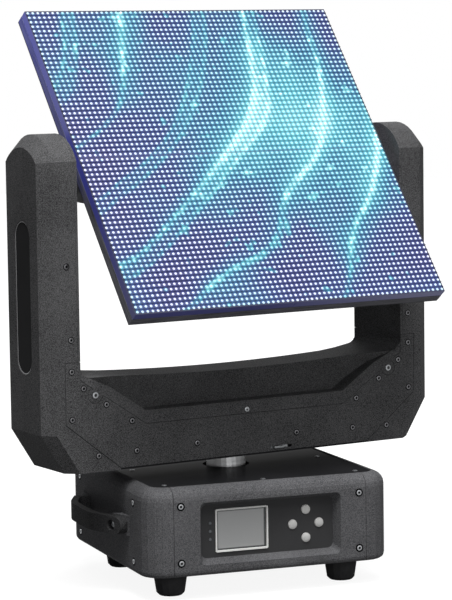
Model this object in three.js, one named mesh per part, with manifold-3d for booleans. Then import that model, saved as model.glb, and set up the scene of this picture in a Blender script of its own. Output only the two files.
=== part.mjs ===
// A square LED video panel that pans and tilts: a base with a control panel, a turning yoke and the panel head.
// Millimetres, +Z up, front towards -Y. The origin is the middle of the base's underside, on the pan axis.
import * as THREE from 'three';
import { mergeVertices } from 'three/addons/utils/BufferGeometryUtils.js';
import Module from 'manifold-3d';

const wasm = await Module();
wasm.setup();

// Clearances and the way cutting tools run on
const seatGap = 0.3; // between two pieces that rest on or in each other
const seamGap = 0.5; // open seam between two covers
const sweepGap = 1.2; // round a piece that turns near another
const overrun = 5; // past both sides of what a tool cuts

// How the head stands: yoke turned, panel facing up
const panTurn = THREE.MathUtils.degToRad(10.76);
const tiltTurn = THREE.MathUtils.degToRad(36.95);

// Base casing: four moulded covers round a steel bottom plate
const baseWidth = 282;
const baseDepth = 270;
const baseHeight = 95.5;
const baseCorner = 28;
const baseTopEdge = 14;
const baseBottomEdge = 6;
const baseWall = 3;
const capSeam = 110; // end caps meet the front and rear covers here
const rimStep = 2.8; // depth of the seat for the top plate
const rimSeat = 8; // width of that seat
const topPlateThick = 2;
const bottomPlateThick = 2.5;
const bottomLip = 3; // lip of the covers round the bottom plate
const neckHole = 26;
const clampHoleRadius = 5; // quarter-turn sockets for truss brackets
const clampHoleX = 53;
const clampHoleY = 75;
const ventLength = 40;
const ventWidth = 4;
const ventPitch = 9;
const ventCount = 6;
const ventX = 100;

// Feet
const footHeight = 26;
const footTopRadius = 18.5;
const footLowRadius = 15.4;
const footCollar = 3;
const footRounding = 3;
const footX = 99;
const footFrontInset = 45; // from the front of the base
const footRearInset = 59; // the rear pair sits further in

// Control panel, in a tray with sloping sides
const trayWidth = 161;
const trayHeight = 67;
const trayDepth = 12;
const trayDraft = 5;
const trayCorner = 6;
const trayWall = 2.5;
const trayLift = 45; // height of its middle
const controlPlateThick = 2;
const controlPlateLap = 4; // reach of the plate behind the tray's rim
const displayWidth = 60;
const displayHeight = 46.4;
const displayShare = -0.18137; // its middle, as a share of the tray's width
const bezelRim = 1.6;
const bezelProud = 1;
const screenLap = 2.5;
const controlBoardGap = 6; // plate to circuit board
const controlBoardThick = 1.6;
const standoffRadius = 3;
const buttonRadius = 5.3;
const buttonProud = 2.2;
const buttonDome = 1.3;
const buttonFlangeRadius = 7;
const buttonFlangeThick = 1;
const buttonStemRadius = 2;
const buttonTravel = 1;
const buttonCrossShare = 0.27702; // middle of the cross, as a share of the tray's width
const buttonReach = 15.3;
const switchSize = 6;
const guideClearance = 5.8; // from the display
const guidePitch = 8.7;
const guideRadius = 1.5;
const guideProud = 0.6;
const guideBarThick = 1.6;
const guideBarWidth = 5;

// Carrying handles: moulded bars whose slanting ends are screwed to bosses on the end caps
const handleHalfLength = 80;
const handleBarHalf = 34; // the bar runs straight between its bends
const handleReach = 27; // middle of the bar from the side of the base
const handleThick = 8;
const handleHeight = 19;
const handleLift = 49.5;
const handleLean = THREE.MathUtils.degToRad(25);
const handleBend = 8; // how softly it bends
const handleScrewY = 64;
const handleScrewRadius = 2.6;
const handleSinkRadius = 6;
const handleSinkDepth = 5;
const bossMargin = 3; // what the boss shows round the handle's end
const bossLength = 26;

// Rear: sockets and cooling fan
const socketFlangeWidth = 26;
const socketFlangeHeight = 31;
const socketFlangeThick = 2;
const socketBarrel = 12;
const socketLength = 20;
const socketBore = 9;
const socketBoreDepth = 14;
const powerCoreRadius = 3.5;
const powerCoreLength = 8;
const powerInX = -92;
const powerOutX = -58;
const dataInX = -20;
const dataOutX = 12;
const socketLift = 48;
const pinRadius = 1.2;
const pinCircle = 4;
const pinLength = 7;
const dataPins = 3;
const fanSize = 60;
const fanDepth = 15;
const fanX = 78;
const fanLift = 47;
const fanBore = 28.5;
const fanHub = 11;
const fanBlades = 7;
const bladeThick = 1.4;
const bladeDepth = 9;
const bladePitch = THREE.MathUtils.degToRad(35);
const hubBarThick = 2.5;
const hubBarWidth = 6;
const grilleSlot = 4;
const grillePitch = 7;
const grilleRows = 7;

// Inside the base
const supplyWidth = 200;
const supplyDepth = 100;
const supplyHeight = 30;
const supplyInset = 27; // from the rear of the base
const mainBoardWidth = 110;
const mainBoardDepth = 70;
const mainBoardThick = 1.6;
const mainBoardX = 66;
const mainBoardY = -55;
const boardStand = 6;
const boardChipHeight = 9;
const boardChipSize = 20;
const panMotorSize = 56.4;
const panMotorLength = 52;
const panMotorX = -88;
const panMotorY = -48;
const motorCorner = 6;
const motorBossRadius = 19;
const motorBossHeight = 1.6;
const motorShaftRadius = 3.2;
const motorShaftDepth = 15;

// Pan drive
const neckRadius = 21.8;
const neckBore = 15;
const neckFlangeRadius = 34;
const neckFlangeThick = 4;
const panBearingRadius = 34;
const panBearingHeight = 11;
const panBearingDrop = 3.5; // from the underside of the top plate
const panHousingWall = 7;
const panHousingFlange = 56;
const panHousingFlangeThick = 2.5;
const beltPitch = 5;
const beltThick = 2.2;
const beltWidth = 9;
const toothDepth = 1.8;
const pulleyFlange = 1.2;
const pulleyFlangeReach = 2.8;
const panTeeth = 72;
const motorTeeth = 18;
const tiltTeeth = 48;
const panPulleyLift = 61;

// Yoke: two arms and a low beam
const armInner = 205.5;
const armWidth = 42.1;
const armBevelRun = 13.1; // width of the bevels beside the arm's outer face
const yokeHalfDepth = 46.2;
const armFaceHalfDepth = 34.5;
const armTopRadius = 52.1;
const armTopLift = 415.6; // middle of the arm's round top
const armFaceTopRadius = 45.2;
const armFaceTopLift = 409.1;
const tiltAxisLift = 419.3;
const beamBottom = 110;
const cornerLift = 152.5; // where the slanting lower corner leaves the arm's outer face
const cornerRun = 26.6; // how far in it meets the underside
const coverWall = 3;
const innerPlateThick = 3;
const badgeWidth = 34;
const badgeHeight = 163;
const badgeDepth = 1.5;
const badgeLift = 295.5;

// Front and rear covers of the beam
const coverThick = 3;
const coverSetIn = 24.1; // from the arms' outer faces
const coverEarTop = 228.5;
const coverEarLow = 163;
const coverFootHalf = 158.4;
const coverFootLift = 111.8;
const coverMiddleHalf = 126.5;
const coverMiddleLift = 156.3;
const coverRampShare = 0.665; // rise of the ramps over their run

// Saddle on top of the beam
const saddleMiddleLift = 204;
const saddleRise = 7;
const saddleRiseHalf = 195;
const saddleFilletRadius = 12;
const saddleLip = 28; // half depth of the top
const saddleFoot = 24; // half depth at the foot of the recessed wall
const saddleBand = 14; // height of the band in front of the recess
const saddleBandTop = 44.5; // half depth at the band's top edge
const saddleRunOut = 16; // height over which the recess closes near the arms
const saddleWall = 4;
const saddleTuck = 10; // how far it reaches down behind the covers
const saddleStations = 16;
const filletStations = 4;
const lugRadius = 8.5; // round lugs of the saddle, screwed down in notches of the covers
const lugX = 188.2;
const lugLift = 192.2;

// Chassis in the beam
const chassisFloor = 3;
const chassisFlange = 2;
const lockWindowLow = 18;
const lockWindowHigh = 72;
const lockBarLow = 22;
const lockBarHigh = 54;
const lockBarHeight = 5;
const lockTabLow = 34;
const lockTabHigh = 46;
const lockTabHeight = 2;
const lockTabProud = 1.6;
const lockSlotLow = 30;
const lockSlotHigh = 58;
const lockTravel = 10;

// Tilt drive
const tiltMotorSize = 42.3;
const tiltMotorLength = 48;
const tiltMotorLift = 146;
const motorPlateHole = 9;
const shaftRadius = 10;
const shaftBore = 6;
const shaftCollar = 16;
const shaftCollarThick = 4;
const bearingSpigot = 18;
const bearingFlange = 26;
const bearingFlangeThick = 4;
const tiltPulleyX = 215;
const shaftEndShow = 2; // shaft past the pulley

// Head: LED cabinet and what carries it
const panelDepth = 21;
const panelForward = 38.8; // front face ahead of the tilt axis
const ledPitch = 6.08;
const ledRows = 32; // rows on one module
const ledModules = 2; // modules across and down
const moduleDepth = 9;
const moduleGap = 0.4;
const ribDepth = 1.3;
const ribWidth = 1.2;
const cabinetFloor = 3;
const cabinetLedge = 8;
const cabinetCableHole = 20;
const bracketThick = 4;
const bracketGap = 15.5; // bracket to the arm
const bracketFoot = 20;
const bracketHalfHeight = 45;
const bracketTopRadius = 24;
const rearSideGap = 1; // rear housing to the brackets
const rearHeight = 150;
const rearDepth = 58;
const rearDraft = 12;
const rearCorner = 16;
const rearEdge = 8;
const rearWall = 3;

// Counts that only set how smooth a curve is
const cornerSteps = 5;
const edgeSteps = 4;
const smallRound = 14;
const largeRound = 24;
const armArcSteps = 14;
const bowSteps = 16;

// Sums that several pieces share
const armOuter = armInner + armWidth;
const armBevelX = armOuter - armBevelRun;
const coverHalfWidth = armOuter - coverSetIn;
const topPlateTop = baseHeight - rimStep + topPlateThick + seatGap;
const topPlateUnder = topPlateTop - topPlateThick;
const displayX = trayWidth * displayShare;
const buttonCrossX = trayWidth * buttonCrossShare;
const guideX = displayX - displayWidth / 2 - guideClearance;
const bracketX = armInner - bracketGap - bracketThick;
const rearWidth = 2 * (bracketX - bracketFoot - rearSideGap);
const frontFace = -baseDepth / 2;
const supplyY = baseDepth / 2 - supplyInset - supplyDepth / 2;
const footFrontY = footFrontInset - baseDepth / 2;
const footRearY = baseDepth / 2 - footRearInset;
const trayFloor = frontFace + trayDepth;
const controlFront = trayFloor + seatGap;
const controlBack = controlFront + controlPlateThick;
const controlBoardFront = controlBack + controlBoardGap;
const pitchRadius = (teeth) => (teeth * beltPitch) / (2 * Math.PI);
const tipRadius = (teeth) => pitchRadius(teeth) - beltThick / 2;
const drivePulleyWidth = beltWidth + 2 * seatGap;
const panMotorTop = panPulleyLift - pulleyFlange - seatGap;
const headBack = panelDepth - panelForward; // back of the cabinet, in the head's own frame
const moduleSize = ledPitch * ledRows;
const panelSize = moduleSize * ledModules;

// Finishes
const finish = (color, roughness, metalness) => new THREE.MeshStandardMaterial({ color, roughness, metalness });
const mouldedCasing = finish(0x3c3c3e, 0.6, 0);
const yokeCasing = finish(0x343436, 0.65, 0);
const darkCover = finish(0x29292b, 0.55, 0);
const glossyPlate = finish(0x141416, 0.25, 0);
const rubber = finish(0x161616, 0.85, 0);
const steel = finish(0x9a9c9f, 0.35, 1);
const blackSteel = finish(0x2a2a2c, 0.45, 0.6);
const paleCap = finish(0xc9c9c4, 0.5, 0);
const screenGlass = finish(0x8f9390, 0.2, 0);
const circuitBoard = finish(0x1d4a2c, 0.6, 0);
const ledMask = finish(0x2a2a78, 0.6, 0);
const cabinetMetal = finish(0x2b2838, 0.5, 0.4);
const guideClear = finish(0xb8bcc0, 0.3, 0);

// Solids

// A solid from any closed three.js geometry, with its faces turned outwards.
function solid(geometry) {
  const bare = new THREE.BufferGeometry();
  const loose = geometry.index ? geometry.toNonIndexed() : geometry;
  bare.setAttribute('position', loose.getAttribute('position'));
  const merged = mergeVertices(bare, seatGap / 1000);
  const position = merged.getAttribute('position');
  const corners = [];
  for (let i = 0; i < merged.index.count; i += 3) {
    const [a, b, c] = [0, 1, 2].map((k) => merged.index.getX(i + k));
    if (a !== b && b !== c && c !== a) corners.push(a, b, c);
  }
  let volume = 0;
  const at = (i) => new THREE.Vector3().fromBufferAttribute(position, i);
  for (let i = 0; i < corners.length; i += 3) {
    volume += at(corners[i]).dot(at(corners[i + 1]).cross(at(corners[i + 2])));
  }
  if (volume < 0) {
    for (let i = 0; i < corners.length; i += 3) {
      [corners[i + 1], corners[i + 2]] = [corners[i + 2], corners[i + 1]];
    }
  }
  return new wasm.Manifold(
    new wasm.Mesh({
      numProp: 3,
      vertProperties: new Float32Array(position.array),
      triVerts: new Uint32Array(corners),
    }),
  );
}

const join = (first, ...others) => others.reduce((sum, next) => sum.add(next), first);
const cut = (body, ...tools) => tools.reduce((rest, tool) => rest.subtract(tool), body);
const common = (first, second) => first.intersect(second);

function geometryOf(body) {
  const mesh = body.getMesh();
  const geometry = new THREE.BufferGeometry();
  geometry.setAttribute('position', new THREE.BufferAttribute(new Float32Array(mesh.vertProperties), 3));
  geometry.setIndex(Array.from(mesh.triVerts));
  geometry.computeVertexNormals();
  return geometry;
}

// The same solid on the other side of the middle plane.
function mirrored(body) {
  const geometry = geometryOf(body);
  geometry.scale(-1, 1, 1);
  return solid(geometry);
}

function block(lowX, highX, lowY, highY, lowZ, highZ) {
  const geometry = new THREE.BoxGeometry(highX - lowX, highY - lowY, highZ - lowZ);
  geometry.translate((lowX + highX) / 2, (lowY + highY) / 2, (lowZ + highZ) / 2);
  return solid(geometry);
}

// Rings of equal length, joined in order; open loops of rings get end faces, closed ones none.
function loft(given, flat, closed = false) {
  const backwards = THREE.ShapeUtils.isClockWise(given[0].map(flat));
  const rings = backwards ? given.map((points) => [...points].reverse()) : given;
  const count = rings[0].length;
  const positions = [];
  const put = (...points) => points.forEach((p) => positions.push(p.x, p.y, p.z));
  const last = closed ? rings.length : rings.length - 1;
  for (let i = 0; i < last; i += 1) {
    const near = rings[i];
    const far = rings[(i + 1) % rings.length];
    for (let j = 0; j < count; j += 1) {
      const k = (j + 1) % count;
      put(near[j], near[k], far[k]);
      put(near[j], far[k], far[j]);
    }
  }
  if (!closed) {
    const faces = THREE.ShapeUtils.triangulateShape(rings[0].map(flat), []);
    const finalFaces = THREE.ShapeUtils.triangulateShape(rings[rings.length - 1].map(flat), []);
    faces.forEach(([a, b, c]) => put(rings[0][c], rings[0][b], rings[0][a]));
    finalFaces.forEach(([a, b, c]) => put(...[a, b, c].map((n) => rings[rings.length - 1][n])));
  }
  const geometry = new THREE.BufferGeometry();
  geometry.setAttribute('position', new THREE.Float32BufferAttribute(positions, 3));
  return solid(geometry);
}
const flatXY = (p) => new THREE.Vector2(p.x, p.y);
const flatXZ = (p) => new THREE.Vector2(p.x, p.z);
const flatYZ = (p) => new THREE.Vector2(p.y, p.z);

// Counterclockwise outline of a rectangle with round corners.
function roundedOutline(halfWidth, halfHeight, radius, steps = cornerSteps) {
  const points = [];
  const corners = [[1, 1], [-1, 1], [-1, -1], [1, -1]];
  corners.forEach(([sideX, sideY], quarter) => {
    for (let i = 0; i <= steps; i += 1) {
      const angle = (quarter + i / steps) * (Math.PI / 2);
      points.push(new THREE.Vector2(
        sideX * (halfWidth - radius) + radius * Math.cos(angle),
        sideY * (halfHeight - radius) + radius * Math.sin(angle),
      ));
    }
  });
  return points;
}

const circleOutline = (radius, steps = smallRound) => Array.from({ length: steps }, (_, i) => {
  const angle = (i / steps) * 2 * Math.PI;
  return new THREE.Vector2(radius * Math.cos(angle), radius * Math.sin(angle));
});

// An outline drawn in XY and pushed up along Z, with holes.
function prismZ(outline, low, high, holes = []) {
  const shape = new THREE.Shape(outline);
  holes.forEach((hole) => shape.holes.push(new THREE.Path(hole)));
  const geometry = new THREE.ExtrudeGeometry(shape, { depth: high - low, bevelEnabled: false });
  geometry.translate(0, 0, low);
  return solid(geometry);
}

// An outline drawn in XZ and pushed along Y.
function prismY(outline, low, high, holes = []) {
  const geometry = geometryOf(prismZ(outline, low, high, holes));
  geometry.applyMatrix4(new THREE.Matrix4().set(1, 0, 0, 0, 0, 0, 1, 0, 0, 1, 0, 0, 0, 0, 0, 1));
  return solid(geometry);
}

// An outline drawn in YZ and pushed along X.
function prismX(outline, low, high, holes = []) {
  const geometry = geometryOf(prismZ(outline, low, high, holes));
  geometry.applyMatrix4(new THREE.Matrix4().set(0, 0, 1, 0, 1, 0, 0, 0, 0, 1, 0, 0, 0, 0, 0, 1));
  return solid(geometry);
}

// A profile of radius and height turned round the Z axis.
function turned(profile, steps = smallRound) {
  const points = profile.map(([radius, height]) => new THREE.Vector2(radius, height));
  const onAxis = profile[0][0] === 0 && profile[profile.length - 1][0] === 0;
  if (!onAxis) points.push(points[0].clone());
  const geometry = new THREE.LatheGeometry(points, steps);
  geometry.rotateX(Math.PI / 2);
  return solid(geometry);
}

function placed(body, x, y, z) {
  const geometry = geometryOf(body);
  geometry.translate(x, y, z);
  return solid(geometry);
}

// A solid made along Z, laid so that its Z runs along +Y or +X.
function alongY(body) {
  const geometry = geometryOf(body);
  geometry.rotateX(-Math.PI / 2);
  return solid(geometry);
}
function alongX(body) {
  const geometry = geometryOf(body);
  geometry.rotateY(Math.PI / 2);
  return solid(geometry);
}

const ring = (inner, outer, low, high, steps = smallRound) => turned(
  [[inner, low], [outer, low], [outer, high], [inner, high]], steps,
);
const disc = (radius, low, high, steps = smallRound) => turned(
  [[0, low], [radius, low], [radius, high], [0, high]], steps,
);
const moved = (outline, x, y) => outline.map((p) => new THREE.Vector2(p.x + x, p.y + y));

// Removes all that lies beyond a plane through a point, on the side its normal points to.
function trimmed(body, point, normal, reach) {
  const geometry = new THREE.BoxGeometry(2 * reach, 2 * reach, reach);
  geometry.translate(0, 0, reach / 2);
  const turn = new THREE.Quaternion().setFromUnitVectors(new THREE.Vector3(0, 0, 1), normal.clone().normalize());
  geometry.applyQuaternion(turn);
  geometry.translate(point.x, point.y, point.z);
  return cut(body, solid(geometry));
}

const model = new THREE.Group();
const yoke = new THREE.Group();
yoke.rotation.z = panTurn;
const head = new THREE.Group();
head.position.z = tiltAxisLift;
head.rotation.x = -tiltTurn;
yoke.add(head);
model.add(yoke);

function piece(group, name, material, body) {
  const mesh = new THREE.Mesh(geometryOf(body), material);
  mesh.name = name;
  group.add(mesh);
  return mesh;
}

// Base casing

function baseRing(inset, height) {
  return roundedOutline(baseWidth / 2 - inset, baseDepth / 2 - inset, baseCorner - inset)
    .map((p) => new THREE.Vector3(p.x, p.y, height));
}

// The whole wall of the base as one endless frame, before the seams are cut.
function baseShell() {
  const rings = [];
  for (let i = 0; i <= edgeSteps; i += 1) {
    const angle = (i / edgeSteps) * (Math.PI / 2);
    rings.push(baseRing(baseBottomEdge * (1 - Math.sin(angle)), baseBottomEdge * (1 - Math.cos(angle))));
  }
  for (let i = 0; i <= edgeSteps + 1; i += 1) {
    const angle = (i / (edgeSteps + 1)) * (Math.PI / 2);
    const inset = baseTopEdge * (1 - Math.cos(angle));
    rings.push(baseRing(inset, baseHeight - baseTopEdge * (1 - Math.sin(angle))));
  }
  const seat = baseHeight - rimStep;
  rings.push(baseRing(baseTopEdge, seat));
  rings.push(baseRing(baseTopEdge + rimSeat, seat));
  rings.push(baseRing(baseTopEdge + rimSeat, seat - baseWall));
  rings.push(baseRing(baseTopEdge, seat - baseWall));
  rings.push(baseRing(baseWall, baseHeight - baseTopEdge - baseWall));
  rings.push(baseRing(baseWall, baseBottomEdge + bottomLip));
  rings.push(baseRing(baseBottomEdge + bottomLip, bottomPlateThick + seatGap));
  rings.push(baseRing(baseBottomEdge + bottomLip, 0));
  return loft(rings, flatXY, true);
}

// A ring of the tray at a depth behind the front face, grown by a margin.
function trayRing(depth, margin) {
  const inset = (trayDraft * depth) / trayDepth - margin;
  return roundedOutline(trayWidth / 2 - inset, trayHeight / 2 - inset, trayCorner)
    .map((p) => new THREE.Vector3(p.x, frontFace + depth, p.y + trayLift));
}

function frontCover(shell) {
  const half = capSeam - seamGap / 2;
  const strip = common(shell, block(-half, half, -baseDepth, 0, -overrun, baseHeight + overrun));
  const walls = loft([trayRing(baseWall / 2, trayWall), trayRing(trayDepth, trayWall)], flatXZ);
  const hollow = loft([trayRing(-overrun, 0), trayRing(trayDepth + overrun, 0)], flatXZ);
  return cut(join(strip, walls), hollow);
}

function fanGrille() {
  const slots = [];
  const first = -((grilleRows - 1) / 2) * grillePitch;
  for (let i = 0; i < grilleRows; i += 1) {
    const height = first + i * grillePitch;
    const half = Math.sqrt((fanBore - grilleSlot) ** 2 - height ** 2);
    slots.push(prismY(
      moved(roundedOutline(half, grilleSlot / 2, grilleSlot / 2, 2), fanX, fanLift + height),
      baseDepth / 2 - baseWall - overrun, baseDepth / 2 + overrun,
    ));
  }
  return slots;
}

const socketPlaces = [powerInX, powerOutX, dataInX, dataOutX];

function rearCover(shell) {
  const half = capSeam - seamGap / 2;
  const strip = common(shell, block(-half, half, 0, baseDepth, -overrun, baseHeight + overrun));
  const holes = socketPlaces.map((x) => prismY(
    moved(circleOutline(socketBarrel + 2 * seatGap), x, socketLift),
    baseDepth / 2 - baseWall - overrun, baseDepth / 2 + overrun,
  ));
  return cut(strip, ...holes, ...fanGrille());
}

function endCap(shell) {
  const cap = common(shell, block(
    capSeam + seamGap / 2, baseWidth, -baseDepth, baseDepth, -overrun, baseHeight + overrun,
  ));
  return join(cap, ...handleBosses());
}

function topPlate() {
  const inset = baseTopEdge + seatGap;
  const outline = roundedOutline(baseWidth / 2 - inset, baseDepth / 2 - inset, baseCorner - inset);
  return prismZ(outline, topPlateUnder, topPlateTop, [circleOutline(neckHole, largeRound)]);
}

function bottomPlate() {
  const inset = baseBottomEdge + bottomLip + seatGap;
  const outline = roundedOutline(baseWidth / 2 - inset, baseDepth / 2 - inset, baseCorner - inset);
  const holes = [];
  for (const x of [-clampHoleX, clampHoleX]) {
    for (const y of [-clampHoleY, clampHoleY]) {
      holes.push(moved(circleOutline(clampHoleRadius, largeRound), x, y));
    }
  }
  const first = -((ventCount - 1) / 2) * ventPitch;
  for (const x of [-ventX, ventX]) {
    for (let i = 0; i < ventCount; i += 1) {
      const slot = roundedOutline(ventWidth / 2, ventLength / 2, ventWidth / 2, 1);
      holes.push(moved(slot.map((p) => new THREE.Vector2(p.y, p.x)).reverse(), x, first + i * ventPitch));
    }
  }
  return prismZ(outline, 0, bottomPlateThick, holes);
}

function foot() {
  return turned([
    [0, 0],
    [footTopRadius, 0],
    [footTopRadius, -footCollar],
    [footLowRadius, -footHeight + footRounding],
    [footLowRadius - footRounding, -footHeight],
    [0, -footHeight],
  ]);
}

// Control panel pieces. Those that are turned run along +Y, into the base.

const controlHalfWidth = trayWidth / 2 - trayDraft + controlPlateLap;
const controlHalfHeight = trayHeight / 2 - trayDraft + controlPlateLap;
const standoffX = controlHalfWidth - 2 * standoffRadius;
const standoffZ = controlHalfHeight - 2 * standoffRadius;
const buttonPlaces = {
  button_up: [0, buttonReach],
  button_down: [0, -buttonReach],
  button_left: [-buttonReach, 0],
  button_right: [buttonReach, 0],
};

function controlPlate() {
  const holes = [moved(
    roundedOutline(displayWidth / 2 + seatGap, displayHeight / 2 + seatGap, seatGap * 2, 1), displayX, trayLift,
  )];
  Object.values(buttonPlaces).forEach(([x, z]) => {
    holes.push(moved(circleOutline(buttonRadius + seatGap), buttonCrossX + x, trayLift + z));
  });
  for (const row of [-1, 0, 1]) {
    holes.push(moved(circleOutline(guideRadius + seatGap, smallRound / 2), guideX, trayLift + row * guidePitch));
  }
  const outline = moved(roundedOutline(controlHalfWidth, controlHalfHeight, trayCorner, 3), 0, trayLift);
  const plate = prismY(outline, controlFront, controlBack, holes);
  const posts = [];
  for (const x of [-standoffX, standoffX]) {
    for (const z of [-standoffZ, standoffZ]) {
      posts.push(prismY(
        moved(circleOutline(standoffRadius, smallRound / 2), x, trayLift + z),
        controlBack - controlPlateThick / 2, controlBoardFront - seatGap,
      ));
    }
  }
  return join(plate, ...posts);
}

function displayBezel() {
  const outer = moved(roundedOutline(displayWidth / 2, displayHeight / 2, bezelRim, 2), displayX, trayLift);
  const inner = moved(
    roundedOutline(displayWidth / 2 - bezelRim, displayHeight / 2 - bezelRim, bezelRim / 2, 2), displayX, trayLift,
  );
  return prismY(outer, controlFront - bezelProud, controlBack, [inner]);
}

function displayScreen() {
  const outline = moved(roundedOutline(
    displayWidth / 2 + screenLap, displayHeight / 2 + screenLap, screenLap, 2,
  ), displayX, trayLift);
  return prismY(outline, controlBack + seatGap, controlBoardFront - seatGap);
}

function controlBoard() {
  const outline = moved(roundedOutline(controlHalfWidth, controlHalfHeight, trayCorner, 2), 0, trayLift);
  const board = prismY(outline, controlBoardFront, controlBoardFront + controlBoardThick);
  const stemEnd = controlBack + seatGap + buttonFlangeThick + buttonTravel;
  const switches = Object.values(buttonPlaces).map(([x, z]) => block(
    buttonCrossX + x - switchSize / 2, buttonCrossX + x + switchSize / 2,
    stemEnd + buttonTravel + seatGap, controlBoardFront + controlBoardThick / 2,
    trayLift + z - switchSize / 2, trayLift + z + switchSize / 2,
  ));
  return join(board, ...switches);
}

function button(x, z) {
  const skirt = controlPlateThick + seatGap;
  const profile = [
    [0, -buttonProud],
    [buttonRadius - 2 * buttonDome, -buttonProud + buttonDome / 5],
    [buttonRadius - buttonDome / 3, -buttonProud + buttonDome * 0.8],
    [buttonRadius, 0],
    [buttonRadius, skirt],
    [buttonFlangeRadius, skirt],
    [buttonFlangeRadius, skirt + buttonFlangeThick],
    [buttonStemRadius, skirt + buttonFlangeThick],
    [buttonStemRadius, skirt + buttonFlangeThick + buttonTravel],
    [0, skirt + buttonFlangeThick + buttonTravel],
  ];
  return placed(alongY(turned(profile)), buttonCrossX + x, controlFront, trayLift + z);
}

function lightGuide() {
  const bar = block(
    guideX - guideBarWidth / 2, guideX + guideBarWidth / 2,
    controlBack + seatGap, controlBack + seatGap + guideBarThick,
    trayLift - guidePitch - guideBarWidth / 2, trayLift + guidePitch + guideBarWidth / 2,
  );
  const pins = [-1, 0, 1].map((row) => prismY(
    moved(circleOutline(guideRadius, smallRound / 2), guideX, trayLift + row * guidePitch),
    controlFront - guideProud, controlBack + seatGap + guideBarThick / 2,
  ));
  return join(bar, ...pins);
}

// Carrying handle on the +X side

// How far the middle of the bar stands off the base's side, at a place along it.
function handleOffset(y) {
  const past = Math.abs(y) - handleBarHalf;
  return handleReach - Math.tan(handleLean) * ((past + Math.hypot(past, handleBend)) / 2);
}

// One face of the bar in plan, a distance off its middle line.
function handleFace(offset, half = handleHalfLength) {
  const points = [];
  const step = half / bowSteps;
  for (let i = 0; i <= bowSteps; i += 1) {
    const y = (i / bowSteps - 0.5) * 2 * half;
    const slope = (handleOffset(y + step) - handleOffset(y - step)) / (2 * step);
    const length = Math.hypot(1, slope);
    points.push(new THREE.Vector2(
      baseWidth / 2 + handleOffset(y) + offset / length, y - (offset * slope) / length,
    ));
  }
  return points;
}

function handle() {
  const low = handleLift - handleHeight / 2;
  const band = [...handleFace(handleThick / 2), ...handleFace(-handleThick / 2).reverse()];
  const bar = prismZ(band, low, low + handleHeight);
  const ends = prismX(
    moved(roundedOutline(handleHalfLength, handleHeight / 2, handleHeight / 2), 0, handleLift),
    baseWidth / 2, baseWidth,
  );
  const holes = [-1, 1].map((side) => {
    const geometry = geometryOf(alongX(turned([
      [0, -handleThick],
      [handleScrewRadius, -handleThick],
      [handleScrewRadius, handleThick / 2 - handleSinkDepth],
      [handleSinkRadius, handleThick / 2 - handleSinkDepth],
      [handleSinkRadius, handleThick],
      [0, handleThick],
    ])));
    geometry.rotateZ(side * handleLean);
    geometry.translate(baseWidth / 2 + handleOffset(handleScrewY), side * handleScrewY, handleLift);
    return solid(geometry);
  });
  return cut(common(bar, ends), ...holes);
}

// Wedges on the end cap that the slanting ends of the handle rest on
function handleBosses() {
  const far = handleHalfLength + bossMargin;
  const near = far - bossLength;
  const inside = baseWidth / 2 - baseWall / 2;
  const low = handleLift - handleHeight / 2 - bossMargin / 2;
  const high = low + handleHeight + bossMargin;
  const space = prismZ([
    ...handleFace(handleReach, far + overrun), ...handleFace(-handleThick / 2 - seatGap, far + overrun).reverse(),
  ], low - overrun, high + overrun);
  return [-1, 1].map((side) => {
    const middle = baseWidth / 2 + handleOffset(near);
    const spanY = [side * near, side * far].sort((a, b) => a - b);
    return cut(block(inside, middle, ...spanY, low, high), space);
  });
}

// Rear sockets: a flange outside, a barrel through the cover and a bore for the plug

function socket(kind) {
  const flange = prismZ(
    roundedOutline(socketFlangeWidth / 2, socketFlangeHeight / 2, trayCorner / 2, 2), seatGap,
    seatGap + socketFlangeThick,
  );
  const barrel = disc(socketBarrel, -socketLength, seatGap + socketFlangeThick / 2);
  const front = seatGap + socketFlangeThick;
  const bore = disc(socketBore, front - socketBoreDepth, front + overrun);
  let body = cut(join(flange, barrel), bore);
  if (kind === 'power') {
    const core = disc(powerCoreRadius, front - socketBoreDepth - overrun / 2, front - socketBoreDepth + powerCoreLength);
    body = join(body, core);
  }
  if (kind === 'pins') {
    for (let i = 0; i < dataPins; i += 1) {
      const angle = (i / dataPins) * 2 * Math.PI;
      const pin = prismZ(
        moved(circleOutline(pinRadius, smallRound / 2), pinCircle * Math.cos(angle), pinCircle * Math.sin(angle)),
        front - socketBoreDepth - overrun / 2, front - socketBoreDepth + pinLength,
      );
      body = join(body, pin);
    }
  }
  if (kind === 'holes') {
    const holes = [];
    for (let i = 0; i < dataPins; i += 1) {
      const angle = (i / dataPins) * 2 * Math.PI;
      holes.push(moved(circleOutline(pinRadius, smallRound / 2),
        pinCircle * Math.cos(angle), pinCircle * Math.sin(angle)));
    }
    const insert = prismZ(circleOutline(socketBore + seatGap), front - socketBoreDepth - overrun / 2,
      front - socketFlangeThick / 2, holes);
    body = join(body, insert);
  }
  return body;
}

function rearSocket(kind, x) {
  return placed(alongY(socket(kind)), x, baseDepth / 2, socketLift);
}

// Cooling fan behind the grille

const fanBack = baseDepth / 2 - baseWall - seatGap; // its outlet side, against the rear cover
const fanFront = fanBack - fanDepth;

function fanFrame() {
  const frame = prismY(
    moved(roundedOutline(fanSize / 2, fanSize / 2, trayCorner / 2, 2), fanX, fanLift),
    fanFront, fanBack, [moved(circleOutline(fanBore, largeRound), fanX, fanLift)],
  );
  const bars = [0, 1].map((turn) => {
    const half = fanBore + seatGap * 2;
    const size = turn ? [hubBarWidth / 2, half] : [half, hubBarWidth / 2];
    return block(fanX - size[0], fanX + size[0], fanFront, fanFront + hubBarThick, fanLift - size[1], fanLift + size[1]);
  });
  const pad = prismY(moved(circleOutline(fanHub), fanX, fanLift), fanFront, fanFront + hubBarThick);
  return join(frame, ...bars, pad);
}

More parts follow.
